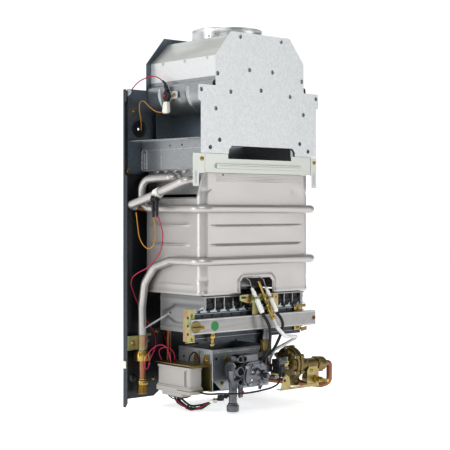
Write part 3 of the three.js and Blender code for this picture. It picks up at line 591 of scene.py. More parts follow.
def smooth_route(points, per_span=8):
    """The centripetal Catmull-Rom curve through given points."""
    p = [Vector(q) for q in points]
    p = [p[0] * 2 - p[1], *p, p[-1] * 2 - p[-2]]
    out = []
    for i in range(1, len(p) - 2):
        knots = [0.0]
        for a, b in zip(p[i - 1:i + 2], p[i:i + 3]):
            knots.append(knots[-1] + max((b - a).length, 1e-6) ** 0.5)
        for k in range(per_span):
            t = knots[1] + (knots[2] - knots[1]) * k / per_span
            first = [between(p[i - 1 + n], p[i + n], knots[n], knots[n + 1], t) for n in range(3)]
            second = [between(first[n], first[n + 1], knots[n], knots[n + 2], t) for n in range(2)]
            out.append(between(second[0], second[1], knots[1], knots[2], t))
    out.append(p[-2])
    return out


def sweep(name, path, radius, material, steps=20):
    """A round tube swept along a path with a steady frame, closed at both ends."""
    points = [Vector(q) for q in path]
    count = len(points)
    tangents = []
    for i in range(count):
        tangents.append((points[min(i + 1, count - 1)] - points[max(i - 1, 0)]).normalized())
    side = tangents[0].orthogonal().normalized()
    verts = []
    for i, point in enumerate(points):
        if i:
            side = tangents[i - 1].rotation_difference(tangents[i]) @ side
            side = (side - tangents[i] * side.dot(tangents[i])).normalized()
        other = tangents[i].cross(side)
        verts += [tuple(point + spoke * radius) for turn, spoke in spokes(side, other, steps)]
    return Shape().take(verts, ring_faces(count, steps)).make(name, material, sharp=50)


def route_length(path):
    return sum((Vector(b) - Vector(a)).length for a, b in zip(path, path[1:]))


def free_wire(name, radius, material, points, steps, node=None):
    """A wire held at both ends: swept along its given route."""
    path = smooth_route(points)
    wire = sweep(name, path, radius, material, steps)
    if node:
        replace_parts(wire, node)


# ---- wires that stand for CAD nodes
# node: radius, material, route
LEADS = {
    "ignition_lead": (2.7, RUBBER, [
        [-12.4, -213.6, -122.6], [-8.5, -219, -133], [-2.5, -221, -147], [-0.5, -220, -170],
        [-2.5, -216, -190], [-6, -209, -200], [-8, -201, -205]]),
    "flame_lead": (2.7, RUBBER, [
        [21.8, -213.6, -122.6], [27.5, -218.5, -132], [32, -219, -144], [33.5, -213, -160], [28, -210, -175],
        [15, -211.5, -189], [2, -212, -197], [-1.5, -206, -205]]),
    "spill_wire_red": (1, RED, [
        [-120.8, -72, 287.6], [-120.8, -62, 297], [-122, -50, 304], [-127, -38, 306], [-134, -30, 303],
        [-145, -24, 296], [-155, -21, 285], [-162, -18, 275]]),
    "spill_wire_orange": (1, ORANGE, [
        [-121, -74.5, 248.5], [-121, -66, 240], [-123, -50, 241], [-125, -32, 250], [-131, -20, 262],
        [-138, -19, 259], [-140, -20, 245], [-135, -17, 230], [-131, -13.5, 218], [-128, -9, 209]]),
    "overheat_wire_orange": (1, ORANGE, [
        [-161.3, -87, 65.6], [-161.2, -88, 57], [-161, -92, 42], [-160.5, -94, 25], [-160.5, -92, 8],
        [-160, -83, -4], [-160, -71, -7], [-160, -57, 0], [-160, -46, 14], [-160, -41, 35],
        [-160.5, -37, 58]]),
    "overheat_wire_red": (1, RED, [
        [-161.3, -97, 65.6], [-161.2, -99, 57], [-161, -107, 42], [-160.5, -115, 18], [-160, -109, -8],
        [-160, -90, -28], [-160, -65, -43], [-161, -44, -51], [-163, -30, -60], [-159, -20, -73],
        [-150, -15, -88], [-140, -14, -108], [-125, -14, -132], [-112, -18, -154], [-114, -34, -172],
        [-128, -50, -190], [-139, -49, -211], [-140, -48, -221], [-145, -47.5, -226], [-150, -49, -221],
        [-150, -52, -206], [-142, -60, -189], [-131, -70, -181],
        [-125, -80, -185], [-121, -84, -198], [-119, -86, -211.5]]),
    "microswitch_cable": (1.6, RUBBER, [
        [27, -216, -232.4], [26.5, -217, -240], [22, -217.5, -249], [9, -216, -255], [-8, -214, -257.5],
        [-27, -212, -259.5], [-48, -206, -261], [-76, -196, -260.5], [-89, -186, -260], [-97, -170, -262],
        [-100, -152, -262], [-101, -144.6, -260]]),
    "igniter_harness": (2.6, RUBBER, [
        [-104, -88, -274.2], [-104, -89, -280], [-104, -102, -287], [-98, -111, -293.5], [-86, -121, -294.5],
        [-75, -131, -288], [-67, -141, -281], [-58, -153, -275], [-46, -161, -270], [-34, -160, -264]]),
}
for lead, route in LEADS.items():
    free_wire(lead + "_run", *route, steps=12, node=lead)


# ---- sheet metal
class Sheet:
    """An open surface, in millimetres, that becomes sheet metal of one thickness."""

    def __init__(self):
        self.work = bmesh.new()

    def loop(self, points):
        """Joins points into a closed outline and returns its edges."""
        corners = [self.work.verts.new(p) for p in points]
        return [self.work.edges.new((a, b)) for a, b in zip(corners, corners[1:] + corners[:1])]

    def grid(self, rows):
        """rows of points; None in a row leaves that corner out, with a triangle where three are left."""
        made = [[None if p is None else self.work.verts.new(p) for p in row] for row in rows]
        for upper, lower in zip(made, made[1:]):
            for i in range(len(upper) - 1):
                corners = [v for v in (upper[i], upper[i + 1], lower[i + 1], lower[i]) if v]
                if len(corners) >= 3:
                    self.work.faces.new(corners)
        return made

    def make(self, name, thickness, inside, material, sharp):
        """inside is a point on the side where the thickness goes."""
        bmesh.ops.remove_doubles(self.work, verts=self.work.verts, dist=1e-4)
        bmesh.ops.recalc_face_normals(self.work, faces=self.work.faces)
        away = 0.0
        for face in self.work.faces:
            away += (face.calc_center_median() - Vector(inside)).dot(face.normal) * face.calc_area()
        if away < 0:
            bmesh.ops.reverse_faces(self.work, faces=self.work.faces)
        for vert in self.work.verts:
            vert.co *= MM
        limit = math.radians(sharp)
        for edge in self.work.edges:
            edge.smooth = edge.is_manifold and edge.calc_face_angle(0) <= limit
        for face in self.work.faces:
            face.smooth = True
        mesh = bpy.data.meshes.new(name)
        self.work.to_mesh(mesh)
        self.work.free()
        obj = link_piece(name, mesh, material, CHASSIS)
        wall = obj.modifiers.new("thickness", "SOLIDIFY")
        wall.thickness = thickness * MM
        wall.offset = -1
        return obj


def bump_profile(distance, half):
    """1 in the middle of a pressed rib and 0 at its edge, with rounded shoulders."""
    if abs(distance) >= half:
        return 0.0
    return 0.5 + 0.5 * math.cos(math.pi * distance / half)


def along_rib(here, low, high):
    """How far a point lies past the ends of a rib."""
    return max(low - here, here - high, 0.0)


def rib_height(across, here, low, high, half, rise):
    return rise * bump_profile(math.hypot(across, along_rib(here, low, high)), half)


# ---- hood
PLATE_Y = -196.2
WINDOW_TOP = 175
FLUE_Y = -103.5
FLUE_RADIUS = 65
HOOD_SIDE = 107.4
BARREL_CENTRE = (73, 277)
BARREL_RADIUS = 42
BARREL_RIBS = (-125.5, -44.5)
PLATE_RIGHT = [
    (71.4, 376.6), (107.6, 332), (107.6, 278.8), (146, 278.8), (146, 252), (140.5, 250), (140.5, 160.7)]
PLATE_NOTCH = [(85, 160.7), (85, 168), (78, WINDOW_TOP), (-70, WINDOW_TOP), (-77, 168), (-77, 160.7)]
PLATE_DIMPLES = [
    (50, 368.8), (103, 300), (28, 311.3), (140, 270), (72.5, 269.8), (107, 238.7), (98, 184.4), (119.5, 171)]


def dimple(sheet, x, z):
    """A round dent pressed into the front plate; returns the edges of its rim."""
    radius, depth = 4.0, 3.2
    profile = [(1.0, 0.0), (0.95, 0.10), (0.86, 0.45), (0.76, 0.85), (0.55, 1.0), (0.2, 1.0)]
    steps = 24
    rings = []
    for part, sink in profile:
        circle = arc(0, 0, radius * part, 0, 360 - 360 / steps, steps - 1)
        rings.append([sheet.work.verts.new((x + a, PLATE_Y + depth * sink, z + b)) for a, b in circle])
    for outer, inner in zip(rings, rings[1:]):
        for i in range(steps):
            j = (i + 1) % steps
            sheet.work.faces.new((outer[i], outer[j], inner[j], inner[i]))
    sheet.work.faces.new(rings[-1])
    return [sheet.work.edges.get((rings[0][i], rings[0][(i + 1) % steps])) for i in range(steps)]


def hood_front():
    sheet = Sheet()
    outline = PLATE_RIGHT + PLATE_NOTCH + [(-a, b) for a, b in reversed(PLATE_RIGHT)]
    outline = rounded(outline, 1.6, 3)
    edges = sheet.loop([(a, PLATE_Y, b) for a, b in outline])
    for x, z in PLATE_DIMPLES:
        for side in (-1, 1):
            edges += dimple(sheet, side * x, z)
    edges += dimple(sheet, 0, 276.5)
    bmesh.ops.triangle_fill(sheet.work, use_beauty=True, edges=edges)
    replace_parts(sheet.make("hood_front_sheet", 1.1, (0, 400, 270), GALVANISED, 20), "hood_front_plate")
    # Painted shade: the window lip and the baffle behind the window are in the shaded steels, for the dark
    # inside the hood.
    lip = Shape().box(-69, 77, -195.2, -188, WINDOW_TOP - 0.8, WINDOW_TOP + 0.2)
    lip.make("hood_window_lip", SHADED_PANEL_STEEL, bevel=0.3)
    Shape().box(-100, 100, -19, -17.8, 192, 262).make("hood_inner_baffle", HALF_SHADED_BACK_STEEL, bevel=0.3)


def hood_details():
    for side, name in ((-1, "left"), (1, "right")):
        for i, y in enumerate((-47.5, -110, -172)):
            tab = Shape().rod((side * 106.6, y, 326.5), (side * 109.2, y, 330.5), 1.9, 16)
            tab.lathe((side * 105.4, y, 329.5), (side, 0, 0.35),
                    [(0, 2.6), (1.6, 2.4), (2.3, 1.2), (2.4, 0.2)], 20)
            tab.make(f"hood_tab_{name}_{i}", BRIGHT_STEEL)
        outline = [(107.1, 284), (108.1, 284), (108.1, 285.6), (107.1, 286.2)]
        seam = Shape().prism("y", [(side * a, b) for a, b in outline], -194.4, -12)
        seam.make(f"hood_seam_{name}", BRIGHT_STEEL)
    for i, (a, b) in enumerate(around(3, 198)):
        spoke = Vector((a, b, 0))
        foot = Vector((0, FLUE_Y, 376.5)) + spoke * (FLUE_RADIUS - 0.4)
        rivet = Shape().lathe(tuple(foot), tuple(spoke), [(0, 2.8), (0.8, 2.6), (1.5, 1.8), (1.9, 0.3)], 20)
        rivet.make(f"collar_rivet_{i}", BRIGHT_STEEL)


def collar():
    base, top, radius, wall = 372.4, 392.2, FLUE_RADIUS, 1.2
    profile = [(base, radius), (base + 9, radius), (top - 3.0, radius), (top - 2.4, radius + 0.5),
               (top - 1.3, radius + 0.7), (top - 0.3, radius + 0.4), (top, radius - 0.2),
               (top - 0.6, radius - wall), (base, radius - wall)]
    work = Shape().lathe((0, FLUE_Y, 0), UP, profile, 96, hollow=True)
    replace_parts(work.make("flue_collar_spun", BRIGHT_STEEL, sharp=50), "flue_collar")


def deflector(side, name):
    """The barrel-shaped baffle under one side of the hood, with two pressed ribs round it."""
    sheet = Sheet()
    across, height = BARREL_CENTRE
    rows = []
    ys = [-194.7, -160, -140]
    for rib in BARREL_RIBS:
        ys += [rib + step for step in (-5, -3.5, -2.2, -1, 0, 1, 2.2, 3.5, 5)]
    ys += [-100, -80, -62, -30, -11.5]
    for y in sorted(ys):
        rise = max(2.1 * bump_profile(y - rib, 4.6) for rib in BARREL_RIBS)
        row = [(side * HOOD_SIDE, y, 296), (side * HOOD_SIDE, y, 290)]
        for a, b in arc(0, 0, 1, 166, 268, 26):
            turn = math.atan2(b, a)
            fade = min(1.0, max(0.0, (turn - math.radians(168)) / 0.12)) if turn > 0 else 1.0
            grown = BARREL_RADIUS + rise * fade
            row.append((side * (across - grown * a), y, height + grown * b))
        rows.append(row)
    sheet.grid(rows)
    piece = sheet.make(f"deflector_{name}_pressed", 1.0, (side * across, -100, height), SKIRT_STEEL, sharp=60)
    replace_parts(piece, f"deflector_{name}")


hood_front()
hood_details()
collar()
deflector(-1, "left")
deflector(1, "right")


# ---- combustion chamber
CHAMBER_LEFT = -127
CHAMBER_RIGHT = 132
CHAMBER_FRONT = -183
CHAMBER_BACK = -26
CHAMBER_BOTTOM = -87.7
LEFT_CORNER = 16
RIGHT_CORNER = 8
SHOULDER_FOOT = 72
REAR_TOP = 84
FRONT_RISE = 43
SHOULDER_ROWS = 14
NOTCH_LEFT, NOTCH_RIGHT, NOTCH_TOP, NOTCH_CHAMFER = -37, 40, -60, 6
NOTCH = [
    (NOTCH_LEFT, -95), (NOTCH_LEFT, NOTCH_TOP - NOTCH_CHAMFER), (NOTCH_LEFT + NOTCH_CHAMFER, NOTCH_TOP),
    (NOTCH_RIGHT - NOTCH_CHAMFER, NOTCH_TOP), (NOTCH_RIGHT, NOTCH_TOP - NOTCH_CHAMFER), (NOTCH_RIGHT, -95)]


def notch_distance(x, z):
    """Distance from a front point to the outline of the burner notch."""
    best = 1e9
    here = Vector((x, z))
    for a, b in zip(NOTCH, NOTCH[1:]):
        start, end = Vector(a), Vector(b)
        run = end - start
        t = max(0.0, min(1.0, (here - start).dot(run) / run.length_squared))
        best = min(best, (here - start - run * t).length)
    return best


def in_notch(x, z):
    if z > NOTCH_TOP or not NOTCH_LEFT <= x <= NOTCH_RIGHT:
        return False
    below_top = NOTCH_TOP - z
    return min(x - NOTCH_LEFT, NOTCH_RIGHT - x) + below_top >= NOTCH_CHAMFER or below_top > NOTCH_CHAMFER


def chamber_stations():
    """Points round the chamber with their outward direction, from the rear left to the rear right."""
    out = []
    side = (-26.2, -32, -37, -42, -55, -70, -85, -100, -115, -130, -141, -146, -152, -160)
    for y in side:
        out.append((CHAMBER_LEFT, y, -1, 0))
    for a, b in arc(0, 0, 1, 180, 270, 14):
        out.append((CHAMBER_LEFT + LEFT_CORNER * (1 + a), CHAMBER_FRONT + LEFT_CORNER * (1 + b), a, b))
    front = [-104, -92, -80, -68, -56, -50, -47, -45, -43, -41, -39.5, -37, -34, -31, -22, -12, 0, 12, 22]
    front += [34, 37, 40, 42.5, 44, 46, 48, 50, 53, 60, 70, 80, 92, 104, 108, 114, 120]
    out += [(x, CHAMBER_FRONT, 0, -1) for x in front]
    for a, b in arc(0, 0, 1, 270, 360, 10):
        out.append((CHAMBER_RIGHT - RIGHT_CORNER * (1 - a), CHAMBER_FRONT + RIGHT_CORNER * (1 + b), a, b))
    for y in reversed(side):
        out.append((CHAMBER_RIGHT, y, 1, 0))
    return out


def chamber_press(x, y, z, out_x, out_y):
    """How far the pressed sheet stands out of its plain wall at one point."""
    rise = -0.25 + 0.25 * math.sin(x * 0.043 + z * 0.031) * math.sin(z * 0.052 + y * 0.02)
    rise -= 0.9 * bump_profile(math.hypot(x + 88, (z + 58) * 1.2), 26)
    rise -= 0.8 * bump_profile(math.hypot(x - 92, (z + 62) * 1.3), 30)
    rise += 1.3 * bump_profile(z + 84.5, 3.4)
    if out_y < -0.9:
        for level in (34, 0.5):
            rise += rib_height(z - level, x, -107, 107, 2.6, 2.6)
        rise += 2.8 * bump_profile(notch_distance(x, z) - 4.6, 3.8)
        rise -= 1.4 * bump_profile(math.hypot(abs(x) - 104, z - 96), 9)
    if abs(out_x) > 0.9:
        for level in (35, 0.7):
            rise += rib_height(z - level, y, -143, -37, 3.0, 2.2)
        rise += rib_height(z + 71, y, -150, -60, 3.0, 1.3)
    if 0.2 < abs(out_x) < 0.98:
        rise -= 1.2 * bump_profile(z - 94, 7)
        rise -= 0.7 * bump_profile(z + 62, 9)
    return rise


def chamber():
    levels = [CHAMBER_BOTTOM, -86.4, -85, -83.4, -81, -77, -74.5, -73, -71, -69, -67.5, -66, -63, -60, -58,
            -56, -54.5]
    levels += [-52, -48, -42, -36, -28, -20, -12, -6, -3, -1.6, -0.6, 0.5, 1.6, 2.8, 4.5, 9, 16, 24, 30, 31.4]
    levels += [32.6, 34, 35.4, 36.6, 38, 44, 52, 60, 66, 72]
    rows = []
    stations = chamber_stations()
    for z in levels:
        row = []
        for x, y, out_x, out_y in stations:
            if out_y < -0.9 and in_notch(x, z) and notch_distance(x, z) > 0.01:
                row.append(None)
                continue
            rise = chamber_press(x, y, z, out_x, out_y)
            row.append((x + out_x * rise, y + out_y * rise, z))
        rows.append(row)
    for step in range(1, SHOULDER_ROWS + 1):
        row = []
        for x, y, out_x, out_y in stations:
            blend = max(0.0, min(1.0, (CHAMBER_FRONT + 15 - y) / 12))
            blend = blend * blend * (3 - 2 * blend)
            top = REAR_TOP + FRONT_RISE * blend
            z = SHOULDER_FOOT + (top - SHOULDER_FOOT) * step / SHOULDER_ROWS
            left_to_go = SHOULDER_ROWS - step
            rise = chamber_press(x, y, z, out_x, out_y) * min(1.0, left_to_go / 3 + 0.3)
            rise += (1 - blend) * 2.0 * max(0.0, 1 - left_to_go / 3)
            row.append((x + out_x * rise, y + out_y * rise, z))
        rows.append(row)
    sheet = Sheet()
    sheet.grid(rows)
    sheet.grid([[(x, CHAMBER_BACK, z) for x in (CHAMBER_LEFT, -60, 0, 60, CHAMBER_RIGHT)]
                for z in (CHAMBER_BOTTOM, -40, 0, 40, REAR_TOP)])
    shell = sheet.make("combustion_chamber_pressed", 1.0, (0, -100, 0), SILVER, sharp=70)
    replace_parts(shell, "combustion_chamber")


def chamber_texture():
    """The band of small pressed lozenges under the cross strip."""
    shape = Shape()
    for row in range(5):
        for column in range(62):
            x = -94 + column * 3.4 + (1.7 if row % 2 else 0)
            z = 123 - row * 2.6
            tip = (x, CHAMBER_FRONT - 0.3, z)
            base = [(x - 1.5, CHAMBER_FRONT + 0.3, z), (x, CHAMBER_FRONT + 0.3, z - 1.2),
                    (x + 1.5, CHAMBER_FRONT + 0.3, z), (x, CHAMBER_FRONT + 0.3, z + 1.2)]
            shape.take([*base, tip], [[0, 1, 4], [1, 2, 4], [2, 3, 4], [3, 0, 4], [3, 2, 1, 0]])
    shape.make("chamber_texture_band", SILVER, sharp=20)
    folds = Shape().rod((-112, -182.9, 93), (-106, -183.2, 97.5), 0.9, 12)
    folds.rod((-113, -182.6, 95), (-120, -180.4, 91), 0.9, 12)
    folds.make("chamber_corner_folds", SILVER)
    dot = Shape().lathe((-79.3, -182.6, 123.7), FRONT, [(0, 1.9), (0.7, 1.8), (1.2, 1.0), (1.3, 0.2)], 16)
    dot.make("chamber_spot", COPPER)


def fin_top():
    """The rolled tube ends along the side of the fin block, and its cover plates."""
    shape = Shape()
    for side in (-1, 1):
        for i in range(5):
            y = -48 - i * 26
            shape.lathe((side * 120.5, y, 133), (side, 0, 0),
                    [(0, 6.6), (1.6, 6.6), (2.8, 5.4), (3.2, 3.5)], 28)
    shape.make("fin_tube_ends", SILVER)
    for y, z, name in ((-108, 119.5, "upper"), (-160, 114, "lower")):
        ring = Shape().lathe((-121.2, y, z), LEFT, [(0, 10.6), (2.4, 10.4), (4.0, 9.0), (5.4, 8.4)], 32)
        ring.make(f"stub_collar_{name}", SILVER)
    fins = Shape()
    for i in range(52):
        x = -117 + i * 4.6
        fins.box(x - 0.25, x + 0.25, -172.5, -25.5, 92, 145)
    fins.make("exchanger_fins", SHADED_FIN_METAL)


chamber()
chamber_texture()
fin_top()


# ---- water pipes
# node: radius, bend radius, material, corners
PIPES = {
    "coil_upper_turn": (7.3, 24, SILVER, [
        (-121.3, -108, 119.5), (-134.9, -108, 119.5), (-136.9, -72, 119.5), (-143, -31, 117), (-143, -31, 66),
        (-135.9, -80, 64), (-134.9, -190.9, 64), (139.9, -190.9, 64, 16), (139.9, -20, 64),
        (139.9, -20, 18.3)]),
    "coil_lower_turn": (7.3, 24, SILVER, [
        (139.9, -20, 18), (139.9, -20, -28), (139.9, -190.9, -28, 16), (-134.9, -190.9, -28),
        (-135.6, -104, -28), (-137.4, -60, -41), (-139.3, -35, -70), (-140, -28, -112), (-140, -28, -193.7)]),
    "cold_feed_pipe": (7.3, 22, SILVER, [
        (-121.3, -160, 114), (-147, -160, 114), (-155, -80, 88), (-160, -17.3, 71), (-147, -17.3, 68)]),
    "copper_pipe": (5.5, 11, COPPER, [
        (-146.5, -17, 68), (-70, -16, 50), (-70, -16, -225), (-66, -40, -256), (84, -40, -259),
        (107, -98, -262), (158, -192, -267), (172, -200, -262), (172, -200, -226), (160.5, -200, -225.5)]),
}
for node, (radius, bend, material, corners) in PIPES.items():
    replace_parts(sweep(node + "_drawn", bent(corners, bend), radius, material, steps=28), node)


# ---- frame pieces kept from the CAD, with their edges eased
for node, width in (
        ("back_panel", 0.5), ("hood_back_plate", 0.3), ("hood_wrap", 1.2), ("exchanger_skirt", 0.8),
        ("front_cross_strip", 0.4), ("strip_bracket_left", 0.4), ("strip_bracket_right", 0.4),
        ("valve_tray", 0.8), ("manifold_bar", 1.0), ("manifold_bracket_left", 0.4),
        ("manifold_bracket_right", 0.4), ("pilot_bracket", 0.4), ("igniter_bracket", 0.4),
        ("water_valve_bracket", 0.4), ("pipe_clamp", 0.4), ("burner_channel", 0.4)):
    soften(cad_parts[node], width, 35)

SCREWS = [
    # name, head centre, direction it faces, radius, material
    ("strip_left", (-137.2, -194.5, 150.7), FRONT, 3.6, BRASS),
    ("strip_right", (136.7, -194.5, 150.3), FRONT, 3.4, BRASS),
    ("back_plate_upper", (-146.3, -10.7, 243.7), FRONT, 3.6, BRASS),
    ("back_plate_lower", (-159.3, -10.7, 134.1), FRONT, 3.6, BRASS),
    ("back_plate_upper_right", (146.3, -10.7, 243.7), FRONT, 3.6, BRASS),
    ("back_plate_lower_right", (156.3, -10.7, 134.1), FRONT, 3.6, BRASS),
    ("clamp_left", (-161.5, -28 + 1.2 - 1.6, -178.6), FRONT, 3.9, BRASS),
    ("clamp_right", (-114, -10.7, -179), FRONT, 3.6, BRASS),
    ("bracket_left_top", (-157.7, -189.6, -118.5), FRONT, 3.3, BRASS),
    ("bracket_left_low", (-157.7, -189.6, -160.5), FRONT, 3.3, BRASS),
    ("bracket_right_top", (98, -189.6, -119.5), FRONT, 3.3, BRASS),
    ("bracket_right_low", (98, -189.6, -155.6), FRONT, 3.3, BRASS),
    ("bar_left", (-141.6, -201, -140), FRONT, 4.2, BRASS),
    ("bar_right", (129.5, -201, -138.4), FRONT, 3.4, COPPER),
    ("tray_upper", (-48, -154, -203.8), FRONT, 3.7, BRASS),
    ("tray_lower", (-56.4, -154, -249), FRONT, 3.4, BRASS),
    ("tray_right", (49, -154, -204), FRONT, 3.4, BRASS),
    ("igniter_rear", (-81.6, -113, -204.5), LEFT, 3.7, COPPER),
    ("igniter_front", (-81.6, -140, -206.5), LEFT, 3.9, BRASS),
    ("water_bracket", (112, -212.3, -234), FRONT, 3.3, BRASS),
    ("water_bracket_foot", (52, -206, -262.6), UP, 3.0, BRASS),
    ("pilot_bracket_left", (-27, -193.4, -95), FRONT, 2.6, COPPER),
    ("pilot_bracket_middle", (-3, -193.4, -94.5), FRONT, 2.6, BRASS),
    ("pilot_bracket_right", (22, -193.4, -94), FRONT, 2.6, COPPER),
    ("pilot_bracket_end", (38, -193.4, -96), FRONT, 2.6, BRASS),
    ("panel_low_left", (-91, -9.2, -163.5), FRONT, 3.4, BRASS),
    ("panel_low_right", (91, -9.2, -163.5), FRONT, 3.4, BRASS),
    ("panel_foot", (-100.5, -9.2, -250), FRONT, 3.2, BRASS),
]
for name, centre, normal, radius, material in SCREWS:
    axis = Vector(normal).normalized()
    head = Shape().lathe(centre, normal, [(0, radius * 1.18), (0.55, radius * 1.16), (0.7, radius)], 28)
    head.screw(tuple(Vector(centre) + axis * 0.6), normal, radius * 0.92)
    head.make(f"screw_{name}", material, sharp=30)


def back_panel_details():
    for side in (-1, 1):
        # Painted light: the ears belong to the dark back panel but are drawn in the lighter tray steel, for
        # the light on the panel's top.
        ear = Shape().prism("x", rounded([(-9, 268), (-9, 279), (-26, 282.5), (-31, 276), (-24, 270)], 2, 3),
                          side * 165.5 - 0.6, side * 165.5 + 0.6)
        ear.make(f"panel_ear_{'left' if side < 0 else 'right'}", TRAY_STEEL, bevel=0.3)
        keyhole = Shape()
        arch = arc(-19.6, 166.5, 8.2, 0, 180, 16)
        inner = arc(-19.6, 166.5, 6.4, 180, 0, 16)
        keyhole.prism("x", [(arch[0][0], 136), *arch, (arch[-1][0], 136), (inner[0][0], 136), *inner,
                (inner[-1][0], 136)], side * 128.7 - 0.7, side * 128.7 + 0.7)
        keyhole.rod((side * 128.2, -19.6, 163), (side * 129.5, -19.6, 163), 3.0, 20)
        keyhole.prism("x", [(-21.4, 137), (-17.8, 137), (-17.8, 162), (-21.4, 162)],
                side * 128.6 - 0.6, side * 128.6 + 0.6)
        keyhole.make(f"keyhole_emboss_{'left' if side < 0 else 'right'}", BRIGHT_STEEL, bevel=0.3)
    dome = Shape()
    for x in (-147.9, 147.9):
        dome.lathe((x, -9.1, -245.7), FRONT, [(0, 7.6), (1.2, 7.0), (2.4, 5.2), (3.1, 2.6), (3.2, 0.2)], 28)
    dome.make("panel_domes", SHADED_PANEL_STEEL)
    clip = Shape().box(-169.3, -165.8, -17, -4, -226, -213)
    clip.box(-169.6, -168.2, -15, -6, -222, -217)
    clip.make("panel_edge_clip", WHITE_PLASTIC, bevel=0.6)
    ribs = Shape()
    for x in (-110, 110):
        outline = rounded([(-9.3, -225), (-9.3, -168), (-11.2, -172), (-11.2, -221)], 1.5, 3)
        ribs.prism("x", outline, x - 4, x + 4)
    ribs.box(-70, 70, -10.6, -9.1, -214, -208)
    ribs.make("panel_ribs", SHADED_PANEL_STEEL, bevel=0.6)
    rear = Shape()
    for x in (-90, 0, 90):
        rear.rod((x, -1.4, -60), (x, -0.4, -60), 9, 28)
        rear.rod((x, -1.4, 70), (x, -0.4, 70), 9, 28)
    rear.make("panel_rear_bosses", SHADED_PANEL_STEEL)
    # Painted shade: the two creases of the back plate are dark strips of the shaded panel steel.
    creases = Shape().box(-104, 104, -11.9, -10.6, 236, 238.4)
    creases.box(-104, 104, -11.9, -10.6, 196, 198.4)
    creases.make("back_plate_crease_shade", SHADED_PANEL_STEEL, bevel=0.5)


def skirt_details():
    # Painted shade: black discs standing for the dark inside of the holes.
    holes = Shape()
    for y in (-94.5, -128.5):
        holes.rod((-128.15, y, 177.3), (-127.6, y, 177.3), 2.0, 18, 0.1)
    holes.make("skirt_hole_shade", BURNER_BLACK)
    seam = Shape().box(-128.5, -127.9, -192, -12, 170.4, 171.2)
    seam.box(-143, -127.9, -160, -12, 186.3, 187.1)
    seam.box(-128.6, -127.8, -70, -68.8, 135, 171)
    seam.box(127.9, 128.5, -192, -12, 170.4, 171.2)
    seam.make("skirt_seam", BRIGHT_STEEL, bevel=0.2)
    # Painted highlight: the skirt's flange lip is drawn in the brighter steel so its underside reads lit.
    lip = Shape().prism("y", [(-129, 134.6), (-131.5, 133.2), (-131, 132.4), (-127.6, 133.6)], -190, -13)
    lip.make("skirt_lip", BRIGHT_STEEL)


def strip_details():
    ridge = Shape().prism("y", slab(-106.5, 102.5, 134.6, 143, 4, 6), -197.4, -195.6)
    ridge.prism("y", slab(-100, 97, 137.6, 140, 1.2, 4), -198.4, -197)
    ridge.make("strip_ridge", CREAM, bevel=0.9)
    for x0, x1, name in ((-157, -144, "left"), (131.5, 143, "right")):
        frame_piece = Shape()
        middle = -150.5 if x0 < 0 else 137
        frame_piece.prism("y", slab(middle - 2.6, middle + 2.6, 106.4, 131.6, 2.2, 4), -194.9, -194.4)
        frame_piece.prism("y", [(x0 + 0.5, 103.5), (x1 - 0.5, 103.5), (x1 - 0.5, 104.3), (x0 + 0.5, 104.3)],
                -195.1, -194.4)
        frame_piece.make(f"bracket_rim_{name}", CREAM, bevel=0.15)
        # Painted shade: each slot is a flat strip of darker steel standing for the shade inside it.
        slot = Shape().prism("y", slab(middle - 1.4, middle + 1.4, 108, 130, 1.3, 4), -195.05, -194.85)
        slot.make(f"bracket_slot_shade_{name}", TRAY_STEEL)


back_panel_details()
skirt_details()
strip_details()


# ---- burner
BAR_COUNT = 11
BAR_PITCH = 21
HOOK_COUNT = 12
HOOK_PITCH = 22.6


def burner():
    sheet = Sheet()
    for side in (-1, 1):
        rows = []
        for i in range(31):
            y = -180 + 122 * i / 30
            row = []
            for k in range(23):
                z = -155 + 66 * k / 22
                flat = abs(z + 123)
                reach = 17 - max(0.0, (y + 104) * 0.42)
                rise = 3.2 * max(0.0, min(1.0, (reach - flat) / 3.5)) * max(0.0, min(1.0, (y + 178) / 4))
                rise += 1.4 * bump_profile(z + 97, 4) + 1.4 * bump_profile(z + 149, 4)
                row.append((side * (121.2 - 0.4 + rise), y, z))
            rows.append(row)
        sheet.grid(rows)
    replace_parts(sheet.make("burner_sides", 1.0, (0, -119, -122), SHADED_BURNER_SILVER, sharp=60), "burner_box")
    front = Shape().box(-121, -115.5, -180, -178.8, -155, -89.4)
    front.box(115.5, 121, -180, -178.8, -155, -89.4)
    front.box(-116, 116, -180, -178.8, -155, -112.4)
    front.box(-121, 121, -59.2, -58, -155, -89.4)
    front.box(-124, 124, -181.5, -180, -92, -89.2)
    front.make("burner_front", SHADED_BURNER_SILVER, bevel=0.3)
    edges = Shape()
    for i in range(BAR_COUNT + 1):
        x = (i - BAR_COUNT / 2) * BAR_PITCH
        edges.box(x - 0.5, x + 0.5, -179.6, -62, -111.5, -90.5)
    edges.make("burner_dividers", BRIGHT_STEEL)
    spring = []
    for i in range(181):
        turn = i / 180
        along = Vector((-122.8, -90, -121.9)).lerp(Vector((-141, -37.5, -153)), turn)
        coil = 1.6 if 0.12 < turn < 0.88 else 0.0
        spring.append(along + Vector((math.cos(turn * 150) * coil, 0, math.sin(turn * 150) * coil)))
    sweep("burner_spring", spring, 0.55, BRIGHT_STEEL, steps=8)
    eye = Shape().rod((-121.8, -90, -121.9), (-124.2, -90, -121.9), 2.6, 20)
    eye.make("burner_spring_eye", BURNER_BLACK)


